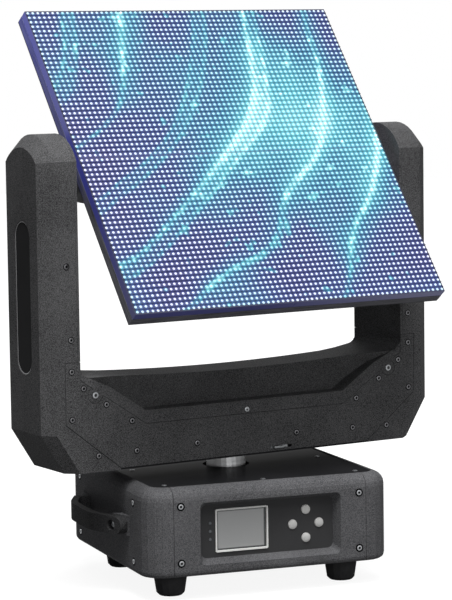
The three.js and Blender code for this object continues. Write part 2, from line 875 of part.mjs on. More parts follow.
function fanRotor() {
  const start = fanFront + hubBarThick + seatGap;
  const hubEnd = fanBack - seatGap * 2;
  const hub = disc(fanHub, 0, hubEnd - start);
  let rotor = hub;
  const reach = fanBore - sweepGap;
  for (let i = 0; i < fanBlades; i += 1) {
    const blade = new THREE.BoxGeometry(reach - fanHub / 2, bladeThick, bladeDepth);
    blade.rotateX(bladePitch);
    blade.translate((reach + fanHub / 2) / 2, 0, (hubEnd - start) / 2);
    blade.rotateZ((i / fanBlades) * 2 * Math.PI);
    rotor = join(rotor, solid(blade));
  }
  const round = disc(reach, 0, hubEnd - start, largeRound);
  return placed(alongY(common(rotor, round)), fanX, start, fanLift);
}

// Supply, boards and motors inside

function powerSupply() {
  const low = bottomPlateThick;
  const box = block(-supplyWidth / 2, supplyWidth / 2, supplyY - supplyDepth / 2, supplyY + supplyDepth / 2,
    low, low + supplyHeight);
  const step = block(supplyWidth / 2 - boardChipSize, supplyWidth, supplyY - supplyDepth, supplyY + supplyDepth,
    low + supplyHeight / 2, low + supplyHeight + overrun);
  return cut(box, step);
}

function mainBoard() {
  const low = bottomPlateThick + boardStand;
  const board = block(mainBoardX - mainBoardWidth / 2, mainBoardX + mainBoardWidth / 2,
    mainBoardY - mainBoardDepth / 2, mainBoardY + mainBoardDepth / 2, low, low + mainBoardThick);
  const stands = [];
  for (const sideX of [-1, 1]) {
    for (const sideY of [-1, 1]) {
      const x = mainBoardX + sideX * (mainBoardWidth / 2 - boardStand);
      const y = mainBoardY + sideY * (mainBoardDepth / 2 - boardStand);
      stands.push(placed(disc(boardStand / 2, bottomPlateThick, low + mainBoardThick / 2, smallRound / 2), x, y, 0));
    }
  }
  const chips = [-1, 0, 1].map((n) => block(
    mainBoardX + n * boardChipSize * 1.5 - boardChipSize / 2, mainBoardX + n * boardChipSize * 1.5 + boardChipSize / 2,
    mainBoardY - boardChipSize / 2, mainBoardY + boardChipSize / 2,
    low + mainBoardThick / 2, low + mainBoardThick + boardChipHeight,
  ));
  return join(board, ...stands, ...chips);
}

// A square stepper motor whose shaft side is at height 0, with a hole where the shaft turns.
function motor(size, length) {
  const half = size / 2;
  const can = prismZ(roundedOutline(half, half, motorCorner, 1), -length, -motorBossHeight);
  const boss = disc(motorBossRadius, -motorBossHeight * 2, 0);
  const hole = disc(motorShaftRadius + seatGap, -motorShaftDepth, overrun);
  return cut(join(can, boss), hole);
}

// Toothed belt pulley with its bore, from height 0 up.
function toothedPulley(teeth, bore) {
  const tip = tipRadius(teeth);
  const root = tip - toothDepth;
  const step = (2 * Math.PI) / teeth;
  const outline = [];
  for (let i = 0; i < teeth; i += 1) {
    [[-0.3, tip], [0.1, tip], [0.25, root], [0.55, root]].forEach(([share, radius]) => {
      const angle = (i + share) * step;
      outline.push(new THREE.Vector2(radius * Math.cos(angle), radius * Math.sin(angle)));
    });
  }
  const holes = bore > 0 ? [circleOutline(bore, largeRound)] : [];
  return prismZ(outline, 0, drivePulleyWidth, holes);
}

// The small pulley of a motor: teeth between two flanges, on the motor's shaft.
function motorPulley(shaft) {
  const rim = tipRadius(motorTeeth) + pulleyFlangeReach;
  return join(
    toothedPulley(motorTeeth, 0),
    disc(rim, -pulleyFlange, 0),
    disc(rim, drivePulleyWidth, drivePulleyWidth + pulleyFlange),
    disc(motorShaftRadius, -shaft, 0),
  );
}

// A belt loop round two pulleys, from height 0 up.
function belt(bigTeeth, smallTeeth, distance) {
  const reach = (extra) => {
    const big = tipRadius(bigTeeth) + seatGap + extra;
    const small = tipRadius(smallTeeth) + seatGap + extra;
    const lean = Math.acos((big - small) / distance);
    const points = [];
    for (let i = 0; i <= largeRound; i += 1) {
      const angle = lean + (i / largeRound) * (2 * Math.PI - 2 * lean);
      points.push(new THREE.Vector2(big * Math.cos(angle), big * Math.sin(angle)));
    }
    for (let i = 0; i <= smallRound / 2; i += 1) {
      const angle = -lean + (i / (smallRound / 2)) * 2 * lean;
      points.push(new THREE.Vector2(distance + small * Math.cos(angle), small * Math.sin(angle)));
    }
    return points;
  };
  return prismZ(reach(beltThick), 0, beltWidth, [reach(0)]);
}

// Pan bearing and its housing, hung under the top plate

function panHousing() {
  const top = topPlateUnder;
  const inner = panBearingRadius + seatGap;
  const low = top - panBearingDrop - panBearingHeight;
  return turned([
    [inner, top - panBearingDrop + seatGap],
    [neckHole, top - panBearingDrop + seatGap],
    [neckHole, top],
    [panHousingFlange, top],
    [panHousingFlange, top - panHousingFlangeThick],
    [inner + panHousingWall, top - panHousingFlangeThick],
    [inner + panHousingWall, low],
    [inner, low],
  ], largeRound);
}

function panBearing() {
  const high = topPlateUnder - panBearingDrop;
  return ring(neckRadius + seatGap, panBearingRadius, high - panBearingHeight, high, largeRound);
}

// Neck: a hollow column from the pan pulley up into the beam
function panNeck() {
  const low = panPulleyLift - seatGap;
  const floor = beamBottom + chassisFloor + seatGap;
  return turned([
    [neckBore, low],
    [neckRadius, low],
    [neckRadius, floor],
    [neckFlangeRadius, floor],
    [neckFlangeRadius, floor + neckFlangeThick],
    [neckBore, floor + neckFlangeThick],
  ], largeRound);
}

// Arms

// Profile of the arm in YZ, from the front foot over the round top to the rear foot.
function armProfile(x, halfDepth, radius, middle, low) {
  const points = [new THREE.Vector3(x, -halfDepth, low)];
  const start = Math.acos(Math.min(1, halfDepth / radius));
  for (let i = 0; i <= armArcSteps; i += 1) {
    const angle = Math.PI - start - (i / armArcSteps) * (Math.PI - 2 * start);
    points.push(new THREE.Vector3(x, radius * Math.cos(angle), middle + radius * Math.sin(angle)));
  }
  points.push(new THREE.Vector3(x, halfDepth, low));
  return points;
}

// Cuts the slanting lower corner of the arm, and its front and rear bevels, each set in by a wall.
function cornerTrimmed(body, wall) {
  const reach = 2 * armOuter;
  const high = new THREE.Vector3(armOuter, 0, cornerLift);
  const low = new THREE.Vector3(armOuter - cornerRun, 0, beamBottom);
  const along = high.clone().sub(low);
  const out = new THREE.Vector3(along.z, 0, -along.x).normalize();
  const flat = trimmed(body, high.clone().addScaledVector(out, -wall), out, reach);
  return [-1, 1].reduce((rest, side) => {
    const bevel = new THREE.Vector3(-armBevelRun, side * (yokeHalfDepth - armFaceHalfDepth), 0);
    const normal = bevel.cross(along).multiplyScalar(side).normalize();
    const edge = new THREE.Vector3(armOuter, side * armFaceHalfDepth, cornerLift);
    return trimmed(rest, edge.addScaledVector(normal, -wall), normal, reach);
  }, flat);
}

// The solid form of the right arm and its foot, shrunk by a wall.
function armForm(wall) {
  const low = beamBottom + wall;
  const start = wall > 0 ? armInner - overrun : armInner + innerPlateThick + seatGap;
  const half = yokeHalfDepth - wall;
  const top = armTopRadius - wall;
  const arm = loft([
    armProfile(start, half, top, armTopLift, low),
    armProfile(armBevelX - wall, half, top, armTopLift, low),
    armProfile(armOuter - wall, armFaceHalfDepth - wall, armFaceTopRadius - wall, armFaceTopLift, low),
  ], flatYZ);
  const footInner = coverFootHalf + seamGap - (wall > 0 ? overrun : 0);
  const footTop = Math.min(coverEarLow, coverEdge(coverFootHalf) - saddleTuck - seatGap);
  const foot = block(footInner, armInner + overrun * 2, -half, half, low, footTop);
  return cornerTrimmed(join(arm, foot), wall);
}

// Front view of the cover plate, grown by a margin. Points run counterclockwise in XZ.
function coverOutline(margin) {
  const half = coverHalfWidth + margin;
  const rampRun = armInner - coverMiddleHalf;
  const rampTop = coverMiddleLift + rampRun * coverRampShare + margin;
  const right = [
    [coverFootHalf + margin / 2, coverFootLift - margin],
    [half, coverEarLow - margin],
    [half, coverEarTop + margin],
    [armInner, coverEarTop + margin],
    [armInner, rampTop],
    [coverMiddleHalf, coverMiddleLift + margin],
  ];
  const left = right.map(([x, z]) => [-x, z]).reverse();
  return [...right, ...left].map(([x, z]) => new THREE.Vector2(x, z));
}

const coverBack = yokeHalfDepth - coverThick;
const coverSeats = () => [-1, 1].map((side) => {
  const near = side * (coverBack - seatGap);
  const far = side * (yokeHalfDepth + overrun);
  return prismY(coverOutline(seamGap), Math.min(near, far), Math.max(near, far));
});

function armCover() {
  const badge = prismX(
    moved(roundedOutline(badgeWidth / 2, badgeHeight / 2, badgeWidth / 2, cornerSteps), 0, badgeLift),
    armOuter - badgeDepth, armOuter + overrun,
  );
  return cut(armForm(0), armForm(coverWall), badge, ...coverSeats());
}

// Flat plate that closes the arm towards the head and carries the tilt bearing.
function innerPlate(motorSide) {
  const behind = coverBack - seatGap;
  const earTop = coverEarTop + seamGap;
  const low = beamBottom + chassisFloor + 2 * seatGap;
  const arc = armProfile(0, yokeHalfDepth, armTopRadius, armTopLift, earTop);
  const outline = [
    new THREE.Vector2(-behind, low),
    new THREE.Vector2(-behind, earTop),
    ...arc.map(flatYZ),
    new THREE.Vector2(behind, earTop),
    new THREE.Vector2(behind, low),
  ].reverse();
  const holes = [moved(circleOutline(bearingSpigot + seatGap, largeRound), 0, tiltAxisLift)];
  if (motorSide) holes.push(moved(circleOutline(motorPlateHole), 0, tiltMotorLift));
  return prismX(outline, armInner, armInner + innerPlateThick, holes);
}

// The two lugs of the saddle on one side, or the notches round them, grown by a margin.
const lugs = (margin, near, far) => [-lugX, lugX].map((x) => prismY(
  moved(circleOutline(lugRadius + margin, largeRound), x, lugLift), Math.min(near, far), Math.max(near, far),
));

// Front or rear cover of the beam; the front one has the slot of the pan lock.
function beamCover(side) {
  const holes = [];
  if (side < 0) {
    const middle = (lockSlotLow + lockSlotHigh) / 2;
    const lift = beamBottom + chassisFloor + lockBarHeight / 2 + seatGap;
    holes.push(moved(roundedOutline(
      (lockSlotHigh - lockSlotLow) / 2, lockTabHeight / 2 + seatGap * 2, seatGap * 2, 1,
    ), middle, lift));
  }
  const near = side * coverBack;
  const far = side * yokeHalfDepth;
  const plate = prismY(coverOutline(0), Math.min(near, far), Math.max(near, far), holes);
  return cut(plate, ...lugs(seamGap, side * (coverBack - overrun), side * (yokeHalfDepth + overrun)));
}

// Saddle: the hollowed top of the beam, lofted along X

const coverEdge = (x) => coverMiddleLift + Math.max(0, Math.abs(x) - coverMiddleHalf) * coverRampShare;

function saddleTop(x) {
  const rise = saddleRise * Math.min(1, (Math.abs(x) / saddleRiseHalf) ** 2);
  const filletStart = armInner - seatGap - saddleFilletRadius;
  const into = Math.min(saddleFilletRadius, Math.max(0, Math.abs(x) - filletStart));
  return saddleMiddleLift + rise + saddleFilletRadius - Math.sqrt(saddleFilletRadius ** 2 - into ** 2);
}

// Section of the saddle: a band in front, a ledge going in from it and a wall that leans out over the ledge.
function saddleRing(x) {
  const top = saddleTop(x);
  const edge = coverEdge(x) + seamGap;
  const ledge = Math.min(edge + saddleBand, top - 2 * seatGap);
  const share = Math.min(1, (top - ledge) / saddleRunOut);
  const foot = saddleBandTop + (saddleFoot - saddleBandTop) * share;
  const lip = saddleBandTop + (saddleLip - saddleBandTop) * share;
  const tuck = coverBack - seatGap;
  const inner = tuck - saddleWall;
  const half = [
    [inner, edge - saddleTuck],
    [tuck, edge - saddleTuck],
    [tuck, edge],
    [yokeHalfDepth, edge],
    [saddleBandTop, ledge],
    [foot, ledge],
    [lip, top],
  ];
  const hollow = saddleFoot - saddleWall;
  const shelf = ledge - saddleWall;
  const roof = Math.max(saddleMiddleLift - saddleWall, shelf + seatGap);
  const underside = [[inner, shelf], [hollow, shelf], [hollow, roof]];
  const mirror = (points) => points.map(([y, z]) => [-y, z]);
  return [...mirror(half), ...[...half].reverse(), ...underside, ...mirror(underside).reverse()]
    .map(([y, z]) => new THREE.Vector3(x, y, z));
}

function saddle() {
  const end = armInner - seatGap;
  const filletStart = end - saddleFilletRadius;
  const places = [];
  for (let i = 0; i <= saddleStations; i += 1) places.push(((i / saddleStations) * 2 - 1) * filletStart);
  for (let i = 1; i <= filletStations; i += 1) {
    const x = filletStart + saddleFilletRadius * Math.sin((i / filletStations) * (Math.PI / 2));
    places.push(x, -x);
  }
  places.push(coverMiddleHalf, -coverMiddleHalf);
  places.sort((a, b) => a - b);
  const tuck = coverBack - seatGap;
  return join(
    loft(places.map(saddleRing), flatYZ),
    ...lugs(0, seatGap - tuck, -yokeHalfDepth),
    ...lugs(0, tuck - seatGap, yokeHalfDepth),
  );
}

// Steel channel inside the beam, with the window and guide of the pan lock
function beamChassis() {
  const half = coverFootHalf;
  const flangeOuter = coverBack - seatGap;
  const floor = block(-half, half, -yokeHalfDepth, yokeHalfDepth, beamBottom, beamBottom + chassisFloor);
  const trim = [-1, 1].map((side) => {
    const near = side * (coverBack - seatGap);
    const far = side * (yokeHalfDepth + overrun);
    return block(-coverHalfWidth, coverHalfWidth, Math.min(near, far), Math.max(near, far),
      coverFootLift - seamGap, baseWidth);
  });
  const flanges = [-1, 1].map((side) => {
    const near = side * (flangeOuter - chassisFlange);
    const far = side * flangeOuter;
    return block(-half, half, Math.min(near, far), Math.max(near, far),
      beamBottom + chassisFloor / 2, coverMiddleLift + seamGap - saddleTuck - seatGap);
  });
  const window = block(lockWindowLow, lockWindowHigh, -yokeHalfDepth, -flangeOuter + chassisFlange + seatGap,
    beamBottom + chassisFloor, beamBottom + chassisFloor + lockBarHeight + 2 * seatGap);
  const guideFront = -flangeOuter + chassisFlange + seatGap;
  const guide = block(lockWindowLow - chassisFlange, lockWindowHigh + chassisFlange, guideFront,
    guideFront + chassisFlange, beamBottom + chassisFloor / 2, beamBottom + chassisFloor + lockBarHeight + 2 * seatGap);
  const neck = disc(neckRadius + seatGap, beamBottom - overrun, beamBottom + chassisFloor + overrun, largeRound);
  return join(cut(join(floor, ...flanges), ...trim, window, neck), guide);
}

function panLock() {
  const back = -coverBack + chassisFlange + seatGap;
  const low = beamBottom + chassisFloor + seatGap;
  const bar = block(lockBarLow, lockBarHigh, -coverBack + seatGap, back, low, low + lockBarHeight);
  const middle = low + lockBarHeight / 2;
  const tab = block(lockTabLow, lockTabHigh, -yokeHalfDepth - lockTabProud, -coverBack + chassisFlange,
    middle - lockTabHeight / 2, middle + lockTabHeight / 2);
  return join(bar, tab);
}

// Tilt drive in the right arm

function tiltBearing() {
  const inside = armInner + innerPlateThick + seatGap;
  return alongX(turned([
    [shaftRadius + seatGap, armInner + seatGap],
    [bearingSpigot, armInner + seatGap],
    [bearingSpigot, inside],
    [bearingFlange, inside],
    [bearingFlange, inside + bearingFlangeThick],
    [shaftRadius + seatGap, inside + bearingFlangeThick],
  ], largeRound));
}

// Head, in its own frame: tilt axis at the origin, front towards -Y

const maskFace = ribDepth - panelForward;
const moduleBack = maskFace + moduleDepth;
const cabinetFront = moduleBack + seatGap;

function ledModule(column, row) {
  const lowX = (column - ledModules / 2) * moduleSize + moduleGap / 2;
  const lowZ = (row - ledModules / 2) * moduleSize;
  const profile = [new THREE.Vector2(moduleBack, lowZ + moduleGap / 2)];
  profile.push(new THREE.Vector2(maskFace, lowZ + moduleGap / 2));
  for (let i = 1; i < ledRows; i += 1) {
    const z = lowZ + i * ledPitch;
    profile.push(new THREE.Vector2(maskFace, z - ribWidth / 2));
    profile.push(new THREE.Vector2(-panelForward, z));
    profile.push(new THREE.Vector2(maskFace, z + ribWidth / 2));
  }
  profile.push(new THREE.Vector2(maskFace, lowZ + moduleSize - moduleGap / 2));
  profile.push(new THREE.Vector2(moduleBack, lowZ + moduleSize - moduleGap / 2));
  return prismX(profile.reverse(), lowX, lowX + moduleSize - moduleGap);
}

// Cast frame behind the modules: a well for each module's boards and a hole for the cables
function cabinet() {
  const half = panelSize / 2;
  const box = block(-half, half, cabinetFront, headBack, -half, half);
  const wells = [];
  for (const sideX of [-1, 1]) {
    for (const sideZ of [-1, 1]) {
      const near = cabinetLedge;
      const far = half - cabinetLedge;
      const spanX = [sideX * near, sideX * far].sort((a, b) => a - b);
      const spanZ = [sideZ * near, sideZ * far].sort((a, b) => a - b);
      wells.push(block(...spanX, cabinetFront - overrun, headBack - cabinetFloor, ...spanZ));
    }
  }
  const cable = prismY(circleOutline(cabinetCableHole), cabinetFront - overrun, headBack + overrun);
  return cut(box, ...wells, cable);
}

// Bracket on the back of the cabinet with the hollow stub shaft that turns in the arm
function tiltTrunnion(shaftEnd) {
  const foot = headBack + seatGap;
  const outside = bracketX + bracketThick;
  const base = block(bracketX - bracketFoot, outside, foot, foot + bracketThick, -bracketHalfHeight, bracketHalfHeight);
  const outline = [new THREE.Vector2(foot, -bracketHalfHeight)];
  for (let i = 0; i <= armArcSteps; i += 1) {
    const angle = -Math.PI / 3 + (i / armArcSteps) * ((2 * Math.PI) / 3);
    outline.push(new THREE.Vector2(bracketTopRadius * Math.cos(angle), bracketTopRadius * Math.sin(angle)));
  }
  outline.push(new THREE.Vector2(foot, bracketHalfHeight));
  const upright = prismX(outline, bracketX, outside, [circleOutline(shaftBore)]);
  const shaft = alongX(turned([
    [shaftBore, bracketX + bracketThick / 2],
    [shaftCollar, bracketX + bracketThick / 2],
    [shaftCollar, outside + shaftCollarThick],
    [shaftRadius + shaftCollarThick, armInner - sweepGap],
    [shaftRadius, armInner - sweepGap],
    [shaftRadius, shaftEnd],
    [shaftBore, shaftEnd],
  ], largeRound));
  return join(base, upright, shaft);
}

function rearRing(depth, inset, corner) {
  return roundedOutline(rearWidth / 2 - inset, rearHeight / 2 - inset, corner)
    .map((p) => new THREE.Vector3(p.x, depth, p.y));
}

// Rear housing of the head: a drafted lid with a round edge, open towards the cabinet
function rearHousing() {
  const start = headBack + seatGap;
  const end = start + rearDepth;
  const slope = (rearDraft - rearEdge / 2) / (rearDepth - rearEdge);
  const outer = loft([
    rearRing(start, 0, rearCorner),
    rearRing(end - rearEdge, slope * (rearDepth - rearEdge), rearCorner),
    rearRing(end - rearEdge / 4, rearDraft, rearCorner),
    rearRing(end, rearDraft + rearEdge, rearCorner),
  ], flatXZ);
  const inner = loft([
    rearRing(start - overrun, rearWall, rearCorner - rearWall),
    rearRing(end - rearEdge - rearWall, slope * (rearDepth - rearEdge) + rearWall, rearCorner - rearWall),
    rearRing(end - rearWall, rearDraft + rearEdge + rearWall / 2, rearCorner - rearWall),
  ], flatXZ);
  return cut(outer, inner);
}

// Assembly of the base

const shell = baseShell();
const cap = endCap(shell);
piece(model, 'base_front_cover', mouldedCasing, frontCover(shell));
piece(model, 'base_rear_cover', mouldedCasing, rearCover(shell));
piece(model, 'base_end_cap_right', mouldedCasing, cap);
piece(model, 'base_end_cap_left', mouldedCasing, mirrored(cap));
piece(model, 'base_top_plate', glossyPlate, topPlate());
piece(model, 'base_bottom_plate', blackSteel, bottomPlate());
for (const [sideX, wordX] of [[-1, 'left'], [1, 'right']]) {
  for (const [footY, wordY] of [[footFrontY, 'front'], [footRearY, 'rear']]) {
    piece(model, `foot_${wordY}_${wordX}`, rubber, placed(foot(), sideX * footX, footY, 0));
  }
}
piece(model, 'control_plate', glossyPlate, controlPlate());
piece(model, 'display_bezel', paleCap, displayBezel());
piece(model, 'display_screen', screenGlass, displayScreen());
piece(model, 'control_board', circuitBoard, controlBoard());
piece(model, 'light_guide', guideClear, lightGuide());
Object.entries(buttonPlaces).forEach(([name, [x, z]]) => piece(model, name, paleCap, button(x, z)));
const rightHandle = handle();
piece(model, 'handle_right', rubber, rightHandle);
piece(model, 'handle_left', rubber, mirrored(rightHandle));
piece(model, 'power_inlet', darkCover, rearSocket('power', powerInX));
piece(model, 'power_outlet', darkCover, rearSocket('power', powerOutX));
piece(model, 'data_inlet', steel, rearSocket('pins', dataInX));
piece(model, 'data_outlet', steel, rearSocket('holes', dataOutX));
piece(model, 'fan_frame', darkCover, fanFrame());
piece(model, 'fan_rotor', darkCover, fanRotor());
piece(model, 'power_supply', steel, powerSupply());
piece(model, 'main_board', circuitBoard, mainBoard());
piece(model, 'pan_bearing_housing', blackSteel, panHousing());
piece(model, 'pan_bearing', steel, panBearing());
piece(model, 'pan_motor', blackSteel, placed(motor(panMotorSize, panMotorTop - bottomPlateThick),
  panMotorX, panMotorY, panMotorTop));
piece(model, 'pan_motor_pulley', steel, placed(
  motorPulley(pulleyFlange + motorShaftDepth), panMotorX, panMotorY, panPulleyLift,
));
const panBeltBody = belt(panTeeth, motorTeeth, Math.hypot(panMotorX, panMotorY));
const panBelt = piece(model, 'pan_belt', rubber, panBeltBody);
panBelt.position.z = panPulleyLift + seatGap;
panBelt.rotation.z = Math.atan2(panMotorY, panMotorX);

// Assembly of the yoke

piece(yoke, 'pan_pulley', steel, placed(toothedPulley(panTeeth, neckRadius + seatGap), 0, 0, panPulleyLift));
piece(yoke, 'pan_neck', steel, panNeck());
piece(yoke, 'beam_chassis', blackSteel, beamChassis());
piece(yoke, 'beam_front_cover', darkCover, beamCover(-1));
piece(yoke, 'beam_rear_cover', darkCover, beamCover(1));
piece(yoke, 'beam_saddle', yokeCasing, saddle());
const rightArm = armCover();
piece(yoke, 'arm_cover_right', yokeCasing, rightArm);
piece(yoke, 'arm_cover_left', yokeCasing, mirrored(rightArm));
piece(yoke, 'arm_inner_plate_right', yokeCasing, innerPlate(true));
piece(yoke, 'arm_inner_plate_left', yokeCasing, mirrored(innerPlate(false)));
piece(yoke, 'pan_lock', steel, panLock());
const bearing = placed(tiltBearing(), 0, 0, tiltAxisLift);
piece(yoke, 'tilt_bearing_right', steel, bearing);
piece(yoke, 'tilt_bearing_left', steel, mirrored(bearing));
piece(yoke, 'tilt_motor', blackSteel, placed(
  alongX(motor(tiltMotorSize, tiltMotorLength)), armInner - seatGap, 0, tiltMotorLift,
));
const driveShaft = tiltPulleyX - armInner + motorShaftDepth;
piece(yoke, 'tilt_motor_pulley', steel, placed(alongX(motorPulley(driveShaft)), tiltPulleyX, 0, tiltMotorLift));
const tiltBelt = piece(yoke, 'tilt_belt', rubber,
  alongX(belt(tiltTeeth, motorTeeth, tiltAxisLift - tiltMotorLift)));
tiltBelt.position.set(tiltPulleyX + seatGap, 0, tiltAxisLift);

// Assembly of the head

for (let row = 0; row < ledModules; row += 1) {
  for (let column = 0; column < ledModules; column += 1) {
    const name = `led_module_${row ? 'upper' : 'lower'}_${column ? 'right' : 'left'}`;
    piece(head, name, ledMask, ledModule(column, row));
  }
}
piece(head, 'panel_cabinet', cabinetMetal, cabinet());
piece(head, 'head_rear_housing', yokeCasing, rearHousing());
const pulleyEnd = tiltPulleyX + drivePulleyWidth + shaftEndShow;
piece(head, 'tilt_trunnion_right', steel, tiltTrunnion(pulleyEnd));
piece(head, 'tilt_trunnion_left', steel, mirrored(tiltTrunnion(tiltPulleyX)));
piece(head, 'tilt_pulley', steel, placed(
  alongX(toothedPulley(tiltTeeth, shaftRadius + seatGap)), tiltPulleyX, 0, 0,
));

export default model;
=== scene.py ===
# %% [markdown]
# # A video panel that pans and tilts
# This lesson dresses a stage light: a base with a control panel, a yoke with two arms,
# and a square panel of lamps that hangs between them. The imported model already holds
# every solid piece at its real size, so here we add what is small or shiny: screw heads,
# lamps, badges and, above all, surfaces.

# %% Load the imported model
import math

import bpy
from mathutils import Matrix, Vector


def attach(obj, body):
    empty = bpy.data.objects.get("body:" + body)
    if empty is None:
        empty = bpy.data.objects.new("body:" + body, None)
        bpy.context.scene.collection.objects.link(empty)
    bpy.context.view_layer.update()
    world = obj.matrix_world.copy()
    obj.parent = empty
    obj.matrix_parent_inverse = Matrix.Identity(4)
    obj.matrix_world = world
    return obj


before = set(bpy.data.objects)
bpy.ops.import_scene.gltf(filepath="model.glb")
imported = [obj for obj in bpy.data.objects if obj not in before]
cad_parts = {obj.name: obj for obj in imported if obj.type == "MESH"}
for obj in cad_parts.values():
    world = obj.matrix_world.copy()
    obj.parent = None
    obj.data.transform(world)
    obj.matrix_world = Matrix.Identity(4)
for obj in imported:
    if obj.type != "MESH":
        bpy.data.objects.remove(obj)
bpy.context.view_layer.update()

MM = 0.001
print("pieces from the model:", len(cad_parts))

# %% [markdown]
# ## The camera first
# The photograph was taken from the left of the front, at about the height of the panel's
# top edge and from nearly three metres away, with a long lens. A long lens keeps the arms
# almost parallel. The values come from fitting the panel's square and the base's edges to
# the photograph, and the small shift stands for the way in which it was cropped.

# %% Camera at the photograph's angle
IMAGE_HEIGHT = 600
CAMERA_PLACE = Vector((-0.99967, -2.66006, 0.56561))
CAMERA_AZIMUTH = math.radians(20.57)
CAMERA_HEIGHT_ANGLE = math.radians(5.63)
CAMERA_ROLL = math.radians(0.79)
CAMERA_SHIFT = (0.006, -0.012)
CAMERA_REACH = 50
FOCAL_PIXELS = 2585.2
SENSOR = 36.0

camera_data = bpy.data.cameras.new("photo_camera")
camera_data.lens = FOCAL_PIXELS / IMAGE_HEIGHT * SENSOR
camera_data.sensor_width = SENSOR
camera_data.shift_x, camera_data.shift_y = CAMERA_SHIFT
camera_data.clip_end = CAMERA_REACH
camera = bpy.data.objects.new("photo_camera", camera_data)
bpy.context.scene.collection.objects.link(camera)
towards_camera = Vector((
    -math.sin(CAMERA_AZIMUTH) * math.cos(CAMERA_HEIGHT_ANGLE),
    -math.cos(CAMERA_AZIMUTH) * math.cos(CAMERA_HEIGHT_ANGLE),
    math.sin(CAMERA_HEIGHT_ANGLE),
))
camera_right = Vector((math.cos(CAMERA_AZIMUTH), -math.sin(CAMERA_AZIMUTH), 0))
camera_up = towards_camera.cross(camera_right)
facing = Matrix((camera_right, camera_up, towards_camera)).transposed().to_4x4()
camera.matrix_world = (
    Matrix.Translation(CAMERA_PLACE) @ facing @ Matrix.Rotation(-CAMERA_ROLL, 4, "Z")
)
bpy.context.scene.camera = camera
print("lens in mm:", round(camera_data.lens, 1))

# %% [markdown]
# ## Where the yoke and the head stand
# The photograph shows the yoke turned a little and the panel leaning back. Everything
# that we add to them is modelled straight and then set in place by these two matrices.

# %% Places of the yoke and the head
YOKE_TURN = math.radians(10.76)
HEAD_LEAN = math.radians(36.95)
TILT_AXIS_HEIGHT = 419.3 * MM
yoke_place = Matrix.Rotation(YOKE_TURN, 4, "Z")
head_place = (
    yoke_place @ Matrix.Translation((0, 0, TILT_AXIS_HEIGHT)) @ Matrix.Rotation(-HEAD_LEAN, 4, "X")
)
print("height of the tilt axis in m:", TILT_AXIS_HEIGHT)

# %% [markdown]
# ## One way to add a shader node
# A material is a small network. The function `add_node` adds one node, sets what is fixed
# and links what comes from another node, so that each material below reads as a short
# recipe. A node that is given as an input stands for its first output in use. Colours are
# written as the screen shows them and turned to linear light by one function.

# %% Helpers for materials
COLOUR_A, COLOUR_B = 6, 7  # a Mix node's two colour inputs
MATH = "ShaderNodeMath"
VECTOR_MATH = "ShaderNodeVectorMath"
NOISE = "ShaderNodeTexNoise"
RANGE = "ShaderNodeMapRange"
MIX = "ShaderNodeMix"
RAMP = "ShaderNodeValToRGB"
BUMP = "ShaderNodeBump"
MAPPING = "ShaderNodeMapping"
AXES = "ShaderNodeSeparateXYZ"


def linear_colour(hex_text):
    channels = [int(hex_text[i:i + 2], 16) / 255 for i in (1, 3, 5)]
    curve = [c / 12.92 if c <= 0.04045 else ((c + 0.055) / 1.055) ** 2.4 for c in channels]
    return (*curve, 1.0)


def set_inputs(node, inputs):
    for name, value in inputs.items():
        if isinstance(value, bpy.types.Node):
            value = next(socket for socket in value.outputs if socket.enabled)
        if isinstance(value, bpy.types.NodeSocket):
            node.id_data.links.new(value, node.inputs[name])
        else:
            node.inputs[name].default_value = value


def set_stops(elements, stops):
    while len(elements) < len(stops):
        elements.new(0.5)  # the loop below moves it
    for element, (position, colour) in zip(elements, stops):
        element.position = position
        element.color = linear_colour(colour) if isinstance(colour, str) else (colour,) * 3 + (1,)


def add_node(tree, kind, inputs, stops=(), **settings):
    node = tree.nodes.new(kind)
    for name, value in settings.items():
        setattr(node, name, value)
    set_inputs(node, inputs)
    if stops:
        set_stops(node.color_ramp.elements, stops)
    return node


def new_material(name, **surface):
    material = bpy.data.materials.new(name)
    material.use_nodes = True
    tree = material.node_tree
    shader = tree.nodes["Principled BSDF"]
    set_inputs(shader, {socket.replace("_", " "): value for socket, value in surface.items()})
    place = add_node(tree, "ShaderNodeTexCoord", {}).outputs["Object"]
    return material, tree, shader, place


def per_mm(size_mm):
    return 1 / (size_mm * MM)


print("scale of a pattern 1 mm wide:", per_mm(1))

# %% [markdown]
# ## Moulded ABS casing
# The covers of the yoke and the base are charcoal ABS with a spark-eroded grain. The
# grain swallows nearly all gloss, so the specular level is almost nil, and it gives a fine
# salt-and-pepper look from close by. Real grain is about 0.5 mm wide; it is drawn 0.8 mm
# wide here, so that it shows. A slow cloud over it keeps a large face from looking flat.

# %% Moulded ABS in four shades
NOISE_LOW, NOISE_HIGH = 0.3, 0.7  # a noise pattern hardly ever leaves this range
GRAIN_MM = 0.8
CLOUD_MM = 70


